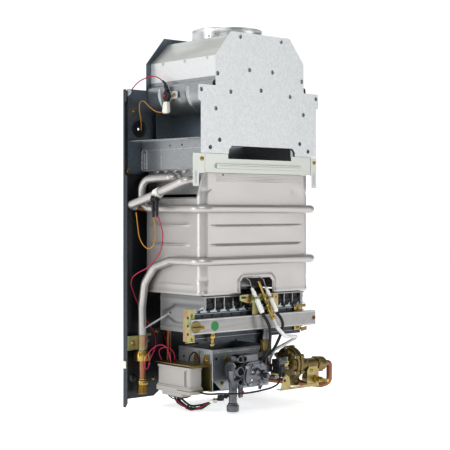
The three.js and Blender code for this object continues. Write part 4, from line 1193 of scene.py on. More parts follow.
def burner_heads():
    """Eleven burner bars: rounded tops with cross slots, blackened by heat."""
    shape = Shape()
    for i in range(BAR_COUNT):
        x = (i - (BAR_COUNT - 1) / 2) * BAR_PITCH
        body = [(x - 6, -110), (x - 6.4, -98), (x - 5.4, -94), (x - 2.4, -92.2), (x + 2.4, -92.2),
                (x + 5.4, -94), (x + 6.4, -98), (x + 6, -110)]
        shape.prism("y", body, -175, -64)
        shape.prism("x", [(-176.5, -113), (-176.5, -101), (-172, -97), (-172, -113)], x - 7.6, x + 7.6)
        for k in range(18):
            y = -170 + k * 6
            shape.box(x - 4.6, x + 4.6, y, y + 2.6, -92.6, -91.7)
    shape.box(-120.5, 120.5, -176, -62, -114, -110)
    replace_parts(shape.make("burner_heads", BURNER_BLACK, bevel=0.5), "burner_rack")


def channel_details():
    shape = Shape()
    for i in range(HOOK_COUNT):
        x = -158 + i * HOOK_PITCH
        hook = [(x, -113), (x + 8, -111.5), (x + 11.4, -107.6), (x + 12.8, -108), (x + 12, -112),
                (x + 16, -114.5), (x + 16, -116), (x, -116)]
        shape.prism("y", hook, -187.6, -186.4)
    shape.box(-162.5, 107.5, -187.4, -186.2, -118.4, -117.2)
    shape.box(-162.5, 107.5, -187.0, -186.0, -160.5, -159.6)
    shape.make("channel_hooks", TRAY_STEEL, bevel=0.25)
    # Painted shade: black discs standing for the dark inside of the holes.
    holes = Shape()
    for i in range(HOOK_COUNT):
        x = -152 + i * HOOK_PITCH
        holes.rod((x, -187.5, -121.5), (x, -186.3, -121.5), 1.8, 16, 0.1)
    holes.make("channel_hole_shade", BURNER_BLACK)
    blade = Shape().prism("z", [(118, -165), (150, -158), (151, -152), (118, -150)], -113.6, -112.6)
    blade.make("burner_blade", TRAY_STEEL, bevel=0.2)


def manifold():
    plug = Shape().lathe((-155.5, -196, -138), FRONT, [(0, 10.4), (5.6, 10.4), (6.5, 9.6), (6.6, 3)], 48)
    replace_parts(plug.make("manifold_plug_turned", CAST_BRASS), "manifold_plug")
    # Painted shade: a black strip standing for the dark inside of the plug's slot.
    Shape().box(-164.6, -146.4, -202.75, -202.4, -139.2, -136.8).make("manifold_plug_slot_shade", BURNER_BLACK)
    dot = Shape().lathe((-113.5, -200.9, -138.6), FRONT, [(0, 8.6), (0.35, 8.5), (0.5, 7.6)], 48)
    dot.make("manifold_green_seal", GREEN)
    # Painted highlights: thin strips of bright aluminium along the top, bottom and right edges of the darker
    # bar.
    highlight_lines = Shape().box(-166.5, 133, -201.25, -200.9, -127.2, -126.7)
    highlight_lines.box(-166.5, 133, -201.25, -200.9, -149.6, -149.1)
    highlight_lines.box(133.6, 134.6, -199.5, -191.5, -149.5, -126.5)
    highlight_lines.make("manifold_edge_highlights", ALUMINIUM)
    tabs = Shape()
    for z in (-164.5, -112.5):
        tabs.box(-168, -150.5, -191.8, -188.9, z - 1.2, z + 1.2)
    tabs.make("manifold_bracket_folds", ZINC, bevel=0.3)
    # Painted shade: black discs standing for the dark inside of the holes.
    dark = Shape()
    for z in (-122, -136, -150):
        dark.rod((-168.9, -195, z), (-167.6, -195, z), 2.5, 18, 0.1)
    dark.make("manifold_bracket_hole_shade", BURNER_BLACK)
    folds = Shape().box(88, 109, -196.8, -189, -123.6, -122.4)
    folds.prism("y", [(106, -156), (121, -154), (121, -161), (106, -163)], -191.4, -190.2)
    folds.prism("y", [(92, -113), (118, -112), (118, -118), (92, -117)], -191.4, -190.2)
    folds.make("manifold_bracket_right_folds", CAST_BRASS, bevel=0.3)


def nipple():
    shape = Shape()
    x, y = -115, -195.5
    shape.lathe((x, y, -151.3), DOWN, [(0, 4.6), (1.4, 4.6), (1.6, 4.0), (8, 4.0)], 32)
    shape.hexagon((x, y, -159.5), (x, y, -154), 11)
    shape.lathe((x, y, -159.4), DOWN, [(0, 3.6), (1.5, 3.6), (2.2, 2.7), (9, 2.7), (9.8, 3.5), (11.4, 3.9),
            (13.2, 3.7), (14.4, 2.6), (14.6, 1.0)], 32)
    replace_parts(shape.make("test_nipple_turned", BRASS), "test_nipple")
    for name, shift, material in (("red", 1.6, RED), ("green", -1.8, GREEN)):
        seal = Shape().lathe((x + shift, y - 2.6, -170.5), (0.4, -1, -0.2),
                [(0, 1.7), (0.8, 1.5), (1.1, 0.3)], 14)
        seal.make(f"nipple_seal_{name}", material)


def riser():
    shape = Shape()
    x, y = 12, -195.5
    shape.lathe((x, y, -151.3), DOWN, [(0, 8.2), (3, 8.2), (3.4, 7.3), (19, 7.3)], 36)
    shape.lathe((x, y, -190), DOWN, [(0, 6.4), (3, 6.2), (4, 5.2), (22, 5.0), (24.2, 5.6)], 36)
    shape.lathe((x + 4, y - 4, -196), (0.7, -0.7, 0), [(0, 3.4), (5.6, 3.2), (6.2, 2.4)], 24)
    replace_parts(shape.make("gas_riser_cast", DIE_CAST), "gas_riser")
    Shape().hexagon((x, y, -192), (x, y, -171), 18.4, 1.4).make("gas_riser_nut", CAST_BRASS)
    drop = Shape().lathe((x + 8.4, y - 4.4, -167), (1, -0.4, 0), [(0, 2.2), (1.0, 2.0), (1.5, 0.4)], 14)
    drop.make("gas_riser_seal", RED)


burner()
burner_heads()
channel_details()
manifold()
nipple()
riser()


# ---- fittings on the hot pipe
def threads(start, radius, length, pitch=1.4):
    """Lathe profile of a threaded length."""
    out = []
    along = start
    while along < start + length:
        out += [(along, radius - 0.55), (along + pitch * 0.5, radius)]
        along += pitch
    return out


def hot_fittings():
    x, y = -140, -28
    nut = Shape().hexagon((x, y, -212.5), (x, y, -196.5), 27, 1.8)
    nut.lathe((x, y, -194), DOWN, [(0, 9.4), (1.0, 10.4), (2.6, 10.4), (2.6, 8.4)], 40)
    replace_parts(nut.make("hot_union_nut_forged", BRASS), "hot_union_nut")
    tail = Shape().hexagon((x, y, -256), (x, y, -251), 19.4, 1.2)
    profile = [(0, 6.6), (1.2, 7.6), (3.4, 7.6), (4.6, 9.2), (8.2, 9.4)]
    profile += threads(12, 9.9, 16)
    profile += [(28.6, 9.2), (29.0, 7.0), (28.4, 6.2)]
    tail.lathe((x, y, -244), DOWN, profile, 48)
    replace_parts(tail.make("hot_outlet_threaded", BRASS), "hot_outlet_tail")
    Shape().lathe((x, y, -213), DOWN, [(0, 6.6), (31.5, 6.6)], 36).make("hot_outlet_copper", COPPER)
    band = Shape().box(-171.5, -150.5, -29.4, -28.0, -192, -190.9)
    band.box(-171.5, -150.5, -29.4, -28.0, -167.1, -166)
    band.make("clamp_beads", ZINC, bevel=0.2)


hot_fittings()


# ---- gas valve
COVER_SCREWS = [(-47.5, -214.5), (-40, -245.5), (-12.5, -213), (-15, -246)]
DOME = (-26, -230)
GAS_TAP_AXIS = (-9.5, -231.5)


def gas_valve():
    body = Shape().prism("y", slab(-52, -3, -248, -208, 5), -205.4, -165)
    body.lathe((-49, -184, -222), LEFT,
            [(0, 17.4), (6, 17.4), (7.4, 16.6), (8.6, 16.8), (13, 16.6), (14, 15)], 56)
    body.prism("y", slab(-63, -16, -207, -194, 4), -205.2, -186)
    body.box(-50, -20, -196, -170, -210, -205)
    body.box(-40, -18, -166, -154.3, -240, -214)
    body.box(-4, 19.8, -204.6, -186, -229, -214.6)
    body.lathe((-57, -184, -222), DOWN, [(0, 9.6), (14, 9.4), (18, 7.4), (61, 7.3)], 40)
    body.hexagon((-57, -184, -295), (-57, -184, -283), 20, 1.4)
    body.lathe((-57, -184, -283), UP, [(0, 9.2), (2, 9.0), (3.2, 7.6), (3.4, 7.2)], 40)
    body.lathe((-44, -190, -246), DOWN, [(0, 5.4), (8, 5.2), (9, 4.5), (23, 4.5), (24, 3.8)], 28)
    for x, z, radius, reach in (
            (-60, -222, 9.2, 3.4), (-60, -240.5, 6.2, 2.6), (-60.5, -200.5, 5.4, 3.0),
            (-49, -200.7, 5.4, 3.0)):
        rim = 5 + reach
        body.lathe((x, -200, z), FRONT,
                [(0, radius), (rim - 1, radius), (rim, radius - 0.8), (rim, radius * 0.72),
                (rim - 2.6, radius * 0.68), (rim - 2.6, 0.2)], 36)
    for x in (-46, -37, -28, -19):
        body.box(x - 1.2, x + 1.2, -204.9, -168, -209.5, -203)
    for z in (-216, -224, -232, -240):
        body.box(-54, -46, -206.2, -190, z - 1.1, z + 1.1)
    body.lathe((-22, -196, -248), DOWN, [(0, 6), (3, 5.6), (5, 3.5)], 24)
    body.lathe((2, -196, -214.8), UP, [(0, 7.4), (1.6, 7.2), (2.2, 6.0)], 30)
    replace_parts(body.make("gas_valve_casting", DIE_CAST, bevel=0.5), "gas_valve_body")
    # Painted shade: matte black discs standing for the dark inside of the ports.
    ports = Shape()
    for x, y, z, radius in (
            (-60, -206.2, -222, 6.1), (-60, -205.3, -240.5, 4.1), (-60.5, -205.7, -200.5, 3.6),
            (-49, -205.7, -200.7, 3.6)):
        ports.lathe((x, y + 0.3, z), FRONT, [(0, radius), (0.5, radius - 0.1)], 30)
    ports.make("gas_valve_port_shade", HOLE_SHADE_BLACK)
    cover = Shape()
    edge = [(-54.5, -229), (-49, -210), (-38, -206.6), (-12, -206.6), (-0.6, -214), (-0.6, -240),
            (-10, -249.8), (-44, -249.8), (-54.5, -243)]
    cover.prism("y", rounded(edge, 4), -209.6, -206)
    raised = [(0.86 * (a + 27) - 27, 0.84 * (b + 228) - 228) for a, b in edge]
    cover.prism("y", rounded(raised, 5), -211.8, -209)
    cover.lathe((DOME[0], -211, DOME[1]), FRONT,
            [(0, 13.5), (1.6, 12.8), (3.6, 10.4), (5.0, 9.0), (5.9, 7.6), (6, 1)], 44)
    cover.lathe((GAS_TAP_AXIS[0], -210, GAS_TAP_AXIS[1]), FRONT,
            [(0, 9.6), (3, 9.2), (5.4, 8.0), (7.8, 7.8), (8, 6.0)], 44)
    for a, b in around(8):
        cover.rod((DOME[0] + 9 * a, -213.4, DOME[1] + 9 * b), (DOME[0] + 13 * a, -211.2, DOME[1] + 13 * b),
                1.0, 10, 0.2)
    for x, z in (*COVER_SCREWS, (-5, -243)):
        cover.lathe((x, -209, z), FRONT, [(0, 5.2), (2.6, 5.0), (3.2, 4.2)], 28)
    cover.rod((-40, -211.5, -222), (-33, -213.6, -212), 2.0, 14)
    cover.rod((-34, -211.5, -240), (-20, -212.5, -243), 1.6, 14)
    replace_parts(cover.make("gas_valve_cover_cast", DIE_CAST, bevel=0.35), "gas_valve_cover")
    for i, (x, z) in enumerate(COVER_SCREWS):
        Shape().screw((x, -212.2, z), FRONT, 3.2).make(f"gas_cover_screw_{i}", STEEL, sharp=30)
    for name, centre, normal, radius, material in (
            ("red_upper", (-2, -210, -211), (0.4, -1, 0.2), 2.6, RED),
            ("white", (-38, -212.4, -238), FRONT, 2.2, CERAMIC),
            ("green", (-35.6, -212.4, -240.4), FRONT, 1.7, GREEN),
            ("red_tip", (-41.5, -193.6, -262), (0.5, -1, 0), 3.8, RED),
            ("red_tip_end", (-44, -190, -269.6), (0.3, -0.4, -1), 4.2, RED),
            ("red_low", (-40, -206.2, -248.5), (0, -0.4, -1), 2.6, RED)):
        seal = Shape().lathe(centre, normal,
                [(0, radius), (0.8, radius * 0.9), (1.3, radius * 0.5), (1.4, 0.2)], 18)
        seal.make(f"gas_valve_seal_{name}", material)


def gas_spindle():
    shaft = Shape()
    x, z = GAS_TAP_AXIS
    shaft.lathe((x, -180, z), FRONT, [(0, 4.6), (40, 4.8), (41, 4.2), (45.6, 4.2), (46, 3.8)], 32)
    flat = [(x + a, z + b) for a, b in arc(0, 0, 4.1, 145, 395, 22)]
    shaft.prism("y", flat, -245.6, -232.5)
    for a, b in around(12):
        shaft.rod((x + 4.6 * a, -218.6, z + 4.6 * b), (x + 4.6 * a, -225, z + 4.6 * b), 0.7, 8, 0.2)
    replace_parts(shaft.make("gas_spindle_turned", DIE_CAST, "gas_tap"), "gas_spindle")


def push_rod():
    rod = Shape().lathe((-8, -198.5, -218.5), RIGHT,
            [(0, 2.0), (0.8, 2.6), (52, 2.6), (52, 8), (53, 8.2), (54.4, 8), (54.5, 2.6),
            (64.4, 2.6), (65, 2.2)], 32)
    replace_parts(rod.make("push_rod_turned", BRASS, "push_rod"), "push_rod")


gas_valve()
gas_spindle()
push_rod()


# ---- water valve
VALVE_AXIS = (-198.5, -218.5)
LUG_CIRCLE = 28
LUG_COUNT = 6
COLD_AXIS = (-198, -225.5)
WATER_TAP_AXIS = (123, -250.5)


def lug_places():
    y, z = VALVE_AXIS
    return [(y + LUG_CIRCLE * a, z + LUG_CIRCLE * b) for a, b in around(LUG_COUNT, 30)]


def lugs(shape, low, high):
    for y, z in lug_places():
        shape.rod((low, y, z), (high, y, z), 4.6, 22, 0.6)


def water_valve():
    y, z = VALVE_AXIS
    cover = Shape().lathe((48.6, y, z), RIGHT,
            [(0, 8.6), (0.8, 9.5), (6, 9.5), (7, 14), (8.4, 20), (11, 24.5), (13.4, 26.6),
            (13.6, 29.6), (14.4, 30.2), (19.1, 30.2)], 64)
    for a, b in around(12):
        cover.rod((56.4, y + 15 * a, z + 15 * b), (61, y + 26 * a, z + 26 * b), 1.5, 10, 0.3)
    lugs(cover, 58.4, 67.7)
    cover.lathe((56.5, y - 9, z + 21), (-1, -0.2, 0.3), [(0, 5), (3.5, 4.6), (4.2, 3)], 24)
    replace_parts(cover.make("water_valve_cover_cast", CAST_BRASS, bevel=0.3), "water_valve_cover")
    body = Shape().lathe((70.3, y, z), RIGHT,
            [(0, 30.2), (5.4, 30.2), (6.2, 29.4), (6.4, 27), (8.4, 25), (12, 20.5), (17.5, 17),
            (22, 14.5)], 64)
    body.lathe((80, *COLD_AXIS), RIGHT,
            [(0, 12), (26, 12), (27, 13), (30, 13), (31, 12.2), (53, 12.2), (53.6, 9.6),
            (62.8, 9.6)], 48)
    body.lathe((WATER_TAP_AXIS[0], -184, WATER_TAP_AXIS[1]), FRONT,
            [(0, 8), (16, 8), (17, 9), (23, 9), (26.2, 8.4)], 36)
    body.prism("z", slab(113, 132, -206, -189, 3), -248, -226)
    body.lathe((92, -186, -226), DOWN, [(0, 10.2), (24, 10.2), (25, 11.4), (31, 11.4), (36, 10)], 40)
    body.lathe((82, -195, -225), FRONT, [(0, 9.4), (15, 9.2), (17.4, 8.4), (19, 6)], 36)
    lugs(body, 70.3, 79.3)
    for a, b in around(LUG_COUNT):
        body.rod((77, y + 26 * a, z + 26 * b), (88, y + 15 * a, z + 15 * b), 1.8, 10, 0.4)
    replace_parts(body.make("water_valve_casting", CAST_BRASS, bevel=0.3), "water_valve_body")
    rim = Shape().lathe((67.9, y, z), RIGHT, [(0, 24.8), (0, 28.4), (2.2, 28.4), (2.2, 24.8)], 56)
    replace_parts(rim.make("diaphragm_rim", RUBBER), "diaphragm")
    for i, (y, z) in enumerate(lug_places()):
        head = Shape().hexagon((58.6, y, z), (56, y, z), 6.6, 0.5)
        head.rod((81.6, y, z), (79.2, y, z), 2.2, 16)
        head.make(f"water_valve_bolt_{i}", STEEL)
    nut = Shape().hexagon((134, *COLD_AXIS), (150, *COLD_AXIS), 27, 1.8)
    nut.lathe((149.5, *COLD_AXIS), RIGHT, [(0, 12.6), (5.5, 12.4), (8.4, 10.4), (10, 7), (10.4, 6)], 44)
    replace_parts(nut.make("cold_union_nut_forged", CAST_BRASS), "cold_union_nut")


def water_spindle():
    x, z = WATER_TAP_AXIS
    shaft = Shape().lathe((x, -192, z), FRONT,
            [(0, 3.9), (24.6, 3.9), (24.8, 5.2), (35, 5.2), (36, 3.9), (38, 3.6)], 32)
    shaft.hexagon((x, -217, z), (x, -212.7, z), 13, 0.9)
    shaft.box(x - 2.9, x + 2.9, -243.8, -229, z - 2.9, z + 2.9)
    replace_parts(shaft.make("water_spindle_turned", BRASS, "water_tap"), "water_spindle")


def water_bracket_details():
    lug = [(34, -262.8), (60, -262.8), (56, -241), (47, -236), (40, -241)]
    shape = Shape().prism("y", lug, -211.8, -210.8)
    shape.prism("y", [(60, -264), (131, -264), (131, -258), (60, -259.5)], -213.2, -212.2)
    shape.make("water_bracket_web", ZINC, bevel=0.3)
    # Painted shade: black discs standing for the dark inside of the holes.
    holes = Shape().rod((44, -212.2, -247), (44, -211.6, -247), 2.6, 20, 0.1)
    holes.rod((70, -206, -262.7), (70, -206, -262.4), 2.6, 20, 0.1)
    holes.make("water_bracket_hole_shade", BURNER_BLACK)


water_valve()
water_spindle()
water_bracket_details()


# ---- microswitch
def microswitch():
    body = Shape().prism("x", slab(-221, -204, -232, -206, 2.5, 4), 20.6, 34.4)
    body.prism("x", slab(-223, -219, -230, -218, 1.6, 4), 23, 34)
    body.rod((16.4, -217, -210.6), (30, -217, -210.6), 5.6, 32)
    body.lathe((34.4, -207, -218.5), RIGHT, [(0, 1.9), (0, 4.2), (5.6, 4.2), (5.6, 1.9)], 32, hollow=True)
    body.box(18, 22, -223, -205, -219, -206)
    for x in (26, 34):
        body.box(x - 2, x + 2, -222.4, -216, -237.6, -231)
    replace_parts(body.make("microswitch_moulded", BLACK_PLASTIC, bevel=0.5), "microswitch")
    barrel = Shape().lathe((19, -220, -209.4), RIGHT, [(0, 5), (0.8, 6.2), (17.6, 6.2), (18.4, 5)], 36)
    barrel.make("microswitch_barrel", GREY_DARK)
    button = Shape().lathe((38.4, -221.4, -212.6), (-0.3, -0.95, 0), [(0, 4.6), (3.2, 4.4), (3.7, 3.8)], 32)
    button.make("microswitch_adjuster", BRASS)
    # Painted shade: a black bar standing for the dark inside of the adjuster's slot.
    slot = Shape().box(-3.4, 3.4, -0.5, 0.5, -0.25, 0.25)
    facing = Vector((-0.3, -0.95, 0)).to_track_quat("Z", "Y").to_matrix()
    centre = Vector((38.4, -221.4, -212.6)) + Vector((-0.3, -0.95, 0)).normalized() * 3.65
    slot.verts = [tuple(centre + facing @ Vector(v)) for v in slot.verts]
    slot.make("microswitch_adjuster_slot_shade", HOLE_SHADE_BLACK)
    for i, centre in enumerate(((43.9, -217, -205.3), (45.6, -217, -223.4), (21, -223.4, -206.6))):
        Shape().screw(centre, (-0.1, -1, 0.1), 2.5).make(f"microswitch_screw_{i}", STEEL, sharp=30)
    plate = Shape().prism("y", slab(17, 39, -240, -226, 1.5, 3), -203.8, -202.8)
    plate.prism("y", rounded([(38, -224), (48, -226), (48, -203), (38, -203)], 1.5, 3), -215.8, -214.8)
    plate.make("microswitch_plate", ZINC, bevel=0.25)
    tip = Shape().lathe((38.2, -207, -218.5), RIGHT, [(0, 1.5), (4.6, 1.5), (5.2, 1.1), (5.4, 0.3)], 20)
    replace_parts(tip.make("microswitch_pin", RED, "switch_plunger"), "microswitch_plunger")


# ---- pilot, electrodes and their leads
def pilot():
    shape = Shape().lathe(*along((-4, -193, -66), (2.4, -203.5, -96),
            [(0, 2.2), (0.05, 3.2), (0.3, 3.2), (0.32, 2.7), (1, 2.7)]))
    shape.lathe(*along((2.2, -203, -95), (5.5, -208.6, -110),
            [(0, 3.4), (0.1, 4.2), (0.6, 4.2), (0.65, 3.4), (1, 3.4)]))
    shape.hexagon((5.2, -208, -108.6), (7.4, -212, -118), 10.4, 1)
    shape.lathe(*along((7.2, -211.6, -117.2), (9.2, -215, -127.6),
            [(0, 4.4), (0.5, 4.2), (0.8, 3.4), (1, 3.2)]))
    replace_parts(shape.make("pilot_turned", BRASS), "pilot_burner")
    for x, node in ((-21, "ignition_electrode"), (13, "flame_electrode")):
        body = Shape().lathe(*along((x, -194, -77), (x + 2.4, -201, -91),
                [(0, 1.8), (0.1, 3.0), (0.5, 3.3), (0.55, 4.0), (0.7, 4.0), (0.75, 3.4), (1, 3.4)]))
        body.lathe(*along((x + 2.2, -200.5, -90), (x + 8.5, -213, -121),
                [(0, 3.4), (0.22, 3.4), (0.26, 4.5), (0.32, 4.7), (0.94, 4.6), (1, 3.8)], 36))
        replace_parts(body.make(node + "_fired", CERAMIC), node)
        rod = Shape().lathe(*along((x - 1.5, -190.5, -64), (x, -194.2, -78),
                [(0, 0.5), (0.05, 0.9), (1, 0.9)], 12))
        rod.lathe(*along((x - 4, -184, -60), (x - 1.4, -190.7, -64.4), [(0, 0.5), (0.05, 0.9), (1, 0.9)], 12))
        rod.make(node + "_wire", STEEL)
        for share, name in ((0.30, "upper"), (0.86, "lower")):
            at = Vector((x + 2.2, -200.5, -90)).lerp(Vector((x + 8.5, -213, -121)), share)
            collar_ring = Shape()
            run = Vector((6.3, -12.5, -31)).normalized()
            collar_ring.lathe(tuple(at - run * 0.8), tuple(run),
                    [(0, 4.5), (0.3, 5.1), (1.3, 5.1), (1.6, 4.5)], 32)
            collar_ring.make(f"{node}_{name}_ring", CERAMIC)
    clamp = Shape()
    for x in (-19.6, 0.2, 14.4):
        clamp.lathe((x, -202.2 + abs(x) * 0.02, -94), (0.16, -0.36, -0.92),
                [(0, 4.2), (0.4, 5.6), (2.2, 5.6), (2.6, 4.2)], 32)
    clamp.box(-26, 24, -200.4, -199.4, -97, -91)
    clamp.box(-26, -24.8, -200, -193, -98, -91)
    clamp.box(26, 27.2, -200, -193, -98, -91)
    clamp.prism("y", rounded([(-50, -98), (-28, -98), (-28, -88), (-50, -89)], 1.5, 3), -194.6, -193.6)
    clamp.prism("y", rounded([(22, -124), (44, -124), (44, -92), (30, -90)], 2, 3), -194.6, -193.6)
    clamp.prism("y", slab(-20, -6, -125, -104, 1, 3), -194.6, -193.6)
    clamp.make("pilot_clamp", ZINC, bevel=0.3)
    # Painted shade: black shapes standing for the dark inside of the slot and hole.
    oval = Shape().prism("y", slab(-46, -35, -95.4, -91.6, 1.8, 4), -194.9, -194.55)
    oval.rod((37, -194.9, -116), (37, -194.5, -116), 2.2, 20, 0.1)
    oval.make("pilot_clamp_hole_shade", BURNER_BLACK)


PILOT_TUBE = [
    (9.2, -215, -127), (17, -221, -149), (36, -221, -165), (74, -213, -169), (72, -206, -174),
    (34, -194, -192), (27.5, -189.5, -208), (27.5, -189.5, -218), (20.4, -189.5, -218)]


def pilot_tube():
    route = bent(PILOT_TUBE, 12)
    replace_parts(sweep("pilot_tube_drawn", route, 2.7, ALUMINIUM, steps=20), "pilot_tube")
    total = route_length(route)
    sleeve = []
    walked = 0.0
    for a, b in zip(route, route[1:]):
        walked += (b - a).length
        if 6 < walked < 0.50 * total:
            sleeve.append(b)
    sweep("pilot_tube_sleeve", sleeve, 3.5, SLEEVE, steps=24)
    nut = Shape().hexagon((20.2, -189.5, -218), (26, -189.5, -218), 8.4, 0.7)
    nut.hexagon((9.4, -215.2, -127.4), (11.4, -216.6, -133), 7.6, 0.6)
    nut.make("pilot_tube_nuts", BRASS)


microswitch()
pilot()
pilot_tube()


# ---- igniter box
def igniter():
    box = Shape()
    for x0, x1, y0, y1, corner, low, high in (
            (-120, -92, -141, -49, 4, -254, -219), (-121.4, -91, -142.4, -47.6, 5, -222, -217.6),
            (-122, -90.6, -143, -47, 5, -256, -252.6), (-123.4, -89.6, -144.4, -45.6, 6, -263.6, -255.4),
            (-121.6, -91, -142, -48, 6, -265.6, -263)):
        box.prism("z", slab(x0, x1, y0, y1, corner), low, high)
    box.box(-121.6, -119.4, -131, -127, -254, -221)
    box.prism("z", slab(-120.4, -97, -118, -60, 4, 4), -271.5, -265)
    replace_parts(box.make("igniter_moulded", GREY_PLASTIC, bevel=0.7), "igniter_box")
    block = Shape().box(-114, -96, -114, -72, -273.6, -264)
    block.box(-112, -98, -110, -76, -275.4, -273)
    block.make("igniter_terminals", BLACK_PLASTIC, bevel=0.6)
    # Painted shade: a dark strip standing for the shade inside the groove on the box's side.
    Shape().box(-121.75, -121.45, -130.4, -127.6, -251, -224).make("igniter_groove_shade", GREY_DARK)
    outline = rounded([(-124, -108), (-124, -143), (-84, -156), (-80, -156), (-80, -104)], 2, 3)
    tongue = Shape().prism("z", outline, -259.4, -258.2)
    tongue.box(-82.6, -81.4, -150, -44, -214.6, -213.2)
    tongue.box(-123.6, -80.6, -147.4, -146.2, -217.5, -213.2)
    tongue.make("igniter_tongue", CAST_BRASS, bevel=0.3)
    ears = Shape()
    for middle in (-113, -140):
        edge = [(middle - 7.5, -214), (middle - 7.5, -203), (middle - 4.5, -197), (middle + 4.5, -197),
                (middle + 7.5, -203), (middle + 7.5, -214)]
        ears.prism("x", rounded(edge, 3, 4), -82.2, -81.2)
    ears.make("igniter_ears", CAST_BRASS, bevel=0.3)


# name: radius, material, route
LOOSE_WIRES = {
    "harness_red": (0.9, RED, [
        (-108, -84, -275.6), (-108, -92, -282), (-107, -106, -289), (-99, -117, -296.5), (-87, -127, -292.5),
        (-77, -137, -285), (-68, -147, -279)]),
    "harness_green": (0.9, GREEN, [
        (-104, -84, -275.6), (-104, -96, -284.5), (-101, -107, -292.5), (-92, -117, -291), (-82, -124, -296),
        (-76, -137, -288), (-66, -149, -276)]),
    "harness_black": (1.8, RUBBER, [
        (-100, -82, -275.6), (-99, -92, -279), (-96, -100, -285), (-93, -112, -289.6), (-83, -124, -288.2),
        (-74, -134, -284.5), (-64, -146, -279), (-56, -156, -271.5), (-46, -163, -266), (-38, -166, -263)]),
    "harness_black_low": (1.6, RUBBER, [
        (-106, -80, -275.6), (-108, -90, -284), (-105, -103, -290), (-95, -113, -294.5), (-85, -121, -295),
        (-78, -130, -291), (-72, -139, -282)]),
    "igniter_loop": (1.0, RUBBER, [
        (-104, -50, -265.9), (-104, -56, -273), (-104, -68, -279), (-104, -84, -281), (-104, -97, -278.5),
        (-103, -104, -274.8)]),
    "bracket_loop": (1.3, RUBBER, [
        (-88, -99, -211.6), (-88, -102, -203), (-88, -108, -196.5), (-88, -115, -193.6), (-88, -121, -197),
        (-88, -126, -204), (-89, -128, -211.6)]),
    "inner_red_loop": (1.0, RED, [
        (-113, -52, -212), (-115, -48, -203), (-117, -50, -193), (-114, -60, -188), (-106, -69, -190),
        (-101, -73, -200), (-100, -74, -211.6)]),
    "tray_red_wire": (0.9, RED, [
        (-74, -12, -163), (-84, -20, -168), (-92, -38, -178), (-96, -48, -192), (-97, -54, -211.6)]),
}


def loose_wires():
    for name, route in LOOSE_WIRES.items():
        free_wire(name, *route, steps=10)
    plug = Shape().box(-82, -71, -158, -150, -281.5, -276)
    plug.box(-80, -73, -150.5, -146, -280.6, -277)
    plug.make("harness_connector", CERAMIC, bevel=0.5)
    ties = Shape()
    for centre, run in (((-66, -143, -280.5), (0.55, -0.65, 0.5)), ((-52, -157, -272.5), (0.8, -0.4, 0.4)),
            ((-100, -107, -291), (0.5, -0.7, -0.5))):
        ties.lathe(centre, run, [(0, 3.6), (0.6, 4.6), (3.0, 4.6), (3.6, 3.6)], 24)
    ties.box(-64, -55, -158, -150, -279, -269)
    ties.make("harness_ties", BLACK_PLASTIC, bevel=0.4)


igniter()
loose_wires()


# ---- thermostats
SPILL_AXIS = (-76, 268)


def spill_thermostat():
    can = Shape().lathe((-116.8, *SPILL_AXIS), LEFT,
            [(0, 9.0), (2.2, 9.0), (2.4, 8.4), (6.4, 8.4), (7.2, 7.4), (7.2, 3.2)], 44)
    can.box(-121.6, -120.4, -79.2, -72.8, 250, 286)
    can.box(-123.4, -117, -80, -72, 259, 277)
    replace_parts(can.make("spill_thermostat_moulded", BLACK_PLASTIC, bevel=0.3), "spill_thermostat")
    ear = Shape().prism("x", slab(-103, -66, 262, 276, 4, 5), -117.6, -116.4)
    ear.rod((-117.7, *SPILL_AXIS), (-115.4, *SPILL_AXIS), 10.4, 40)
    ear.make("spill_thermostat_plate", BRIGHT_STEEL)
    Shape().screw((-117.6, -94, 268.4), LEFT, 3.6).make("spill_thermostat_screw", BRASS, sharp=30)
    button = Shape().lathe((-122.3, *SPILL_AXIS), LEFT, [(0, 2.5), (4.4, 2.5), (5.0, 2.1), (5.2, 0.8)], 28)
    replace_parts(button.make("reset_button_moulded", RED, "reset"), "reset_button")
    boot = Shape().lathe(*along((-121, -77.4, 277), (-121, -70.4, 292.6),
            [(0, 3.6), (0.06, 3.9), (0.6, 3.7), (0.7, 2.9), (1, 2.2)]))
    boot.lathe(*along((-121, -70.6, 292), (-121.4, -64.6, 296.4), [(0, 2.2), (1, 1.7)], 20))
    boot.make("spill_boot", RUBBER)
    outline = [(-80.5, 257.5), (-70.5, 257.5), (-66.5, 238.5), (-82.5, 238.5)]
    plug = Shape().prism("x", outline, -124.5, -117.5)
    plug.box(-123.5, -118.5, -81.6, -67.6, 236.6, 239)
    plug.make("spill_connector", WHITE_PLASTIC, bevel=0.6)


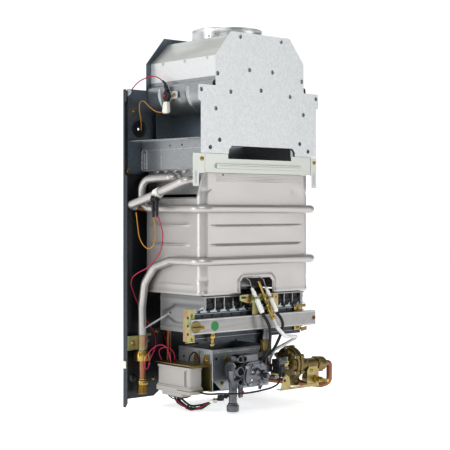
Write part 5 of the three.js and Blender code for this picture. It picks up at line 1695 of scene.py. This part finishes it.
def overheat_thermostat():
    at = Vector((-153.8, -92, 91.9))
    down = Vector((-0.5, 0, -0.866))
    can = Shape().lathe(tuple(at + down * 9.4), tuple(down),
            [(0, 5.8), (1.2, 8.9), (2.6, 8.9), (2.8, 8.0), (7.0, 8.0), (7.8, 7.0)], 44)
    can.lathe(tuple(at + down * 7.6), tuple(down), [(0, 4.6), (2.2, 5.4)], 32)
    for y in (-87, -97):
        can.rod((-161.3, y, 66), (-160.6, y, 80), 1.7, 14)
    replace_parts(can.make("overheat_thermostat_moulded", BLACK_PLASTIC), "overheat_thermostat")
    for y, lean, name in ((-87, -2.4, "front"), (-97, -3.4, "rear")):
        boot = Shape()
        top = (-160.9, y, 79)
        low = (-161.4, y + lean, 49)
        boot.lathe(*along(top, low, [(0, 2.6), (0.05, 3.4), (0.62, 3.3), (0.7, 2.6), (0.96, 2.3), (1, 1.6)]))
        boot.make(f"overheat_boot_{name}", RUBBER)
    run = Vector((-8, 80, -26)).normalized()
    clip = Shape().lathe(tuple(at - run * 6), tuple(run),
            [(0, 7.5), (0, 9.0), (0.8, 9.4), (11.2, 9.4), (12, 9.0), (12, 7.5)], 44, hollow=True)
    clip.make("overheat_clip", WHITE_PLASTIC)
    yoke = Shape().lathe(tuple(at + down * 8.8), tuple(down),
            [(0, 6.6), (0.4, 9.6), (1.4, 9.6), (1.6, 8.6)], 36)
    yoke.make("overheat_yoke", STEEL)


def cable_grommet():
    ring = Shape().lathe((-134, -7.6, 211), FRONT,
            [(0, 13.9), (3.2, 13.9), (3.2, 15.6), (4.6, 15.2), (4.9, 13.4), (4.0, 12.0),
            (1.6, 11.4), (1.2, 2.6), (0.6, 2.4), (0, 2.4)], 48, hollow=True)
    ring.make("cable_grommet", RUBBER)


def tray_details():
    # A real pressed ridge and edge strips, drawn in the brighter steel as a painted highlight.
    outline = rounded([(-66, -194), (30, -192.6), (30, -189.4), (-66, -190.6)], 1.6, 4)
    ridge = Shape().prism("y", outline, -155.2, -153.8)
    ridge.box(-80.6, -79.4, -150, -62, -190, -188.6)
    ridge.prism("y", [(-79.6, -262), (-78, -262), (-78, -188), (-79.6, -188)], -154.8, -153.8)
    ridge.make("tray_ridge_highlight", BRIGHT_STEEL, bevel=0.5)
    # Painted shade: black discs standing for the dark inside of the holes.
    holes = Shape()
    for x, z in ((36, -198), (46, -220), (36, -250), (-70, -204)):
        holes.rod((x, -154.25, z), (x, -153.7, z), 2.6, 20, 0.1)
    for y, z in ((-75, -205), (-75, -245), (-140, -245)):
        holes.rod((-80.25, y, z), (-79.7, y, z), 2.4, 20, 0.1)
    holes.make("tray_hole_shade", BURNER_BLACK)
    fold = Shape().box(-79, 57, -154.6, -148, -188.6, -187.2)
    fold.prism("y", rounded([(-38, -188), (-30, -176), (-14, -176), (-6, -188)], 2, 4), -64, -62.8)
    fold.make("tray_fold", TRAY_STEEL, bevel=0.4)


spill_thermostat()
overheat_thermostat()
cable_grommet()
tray_details()
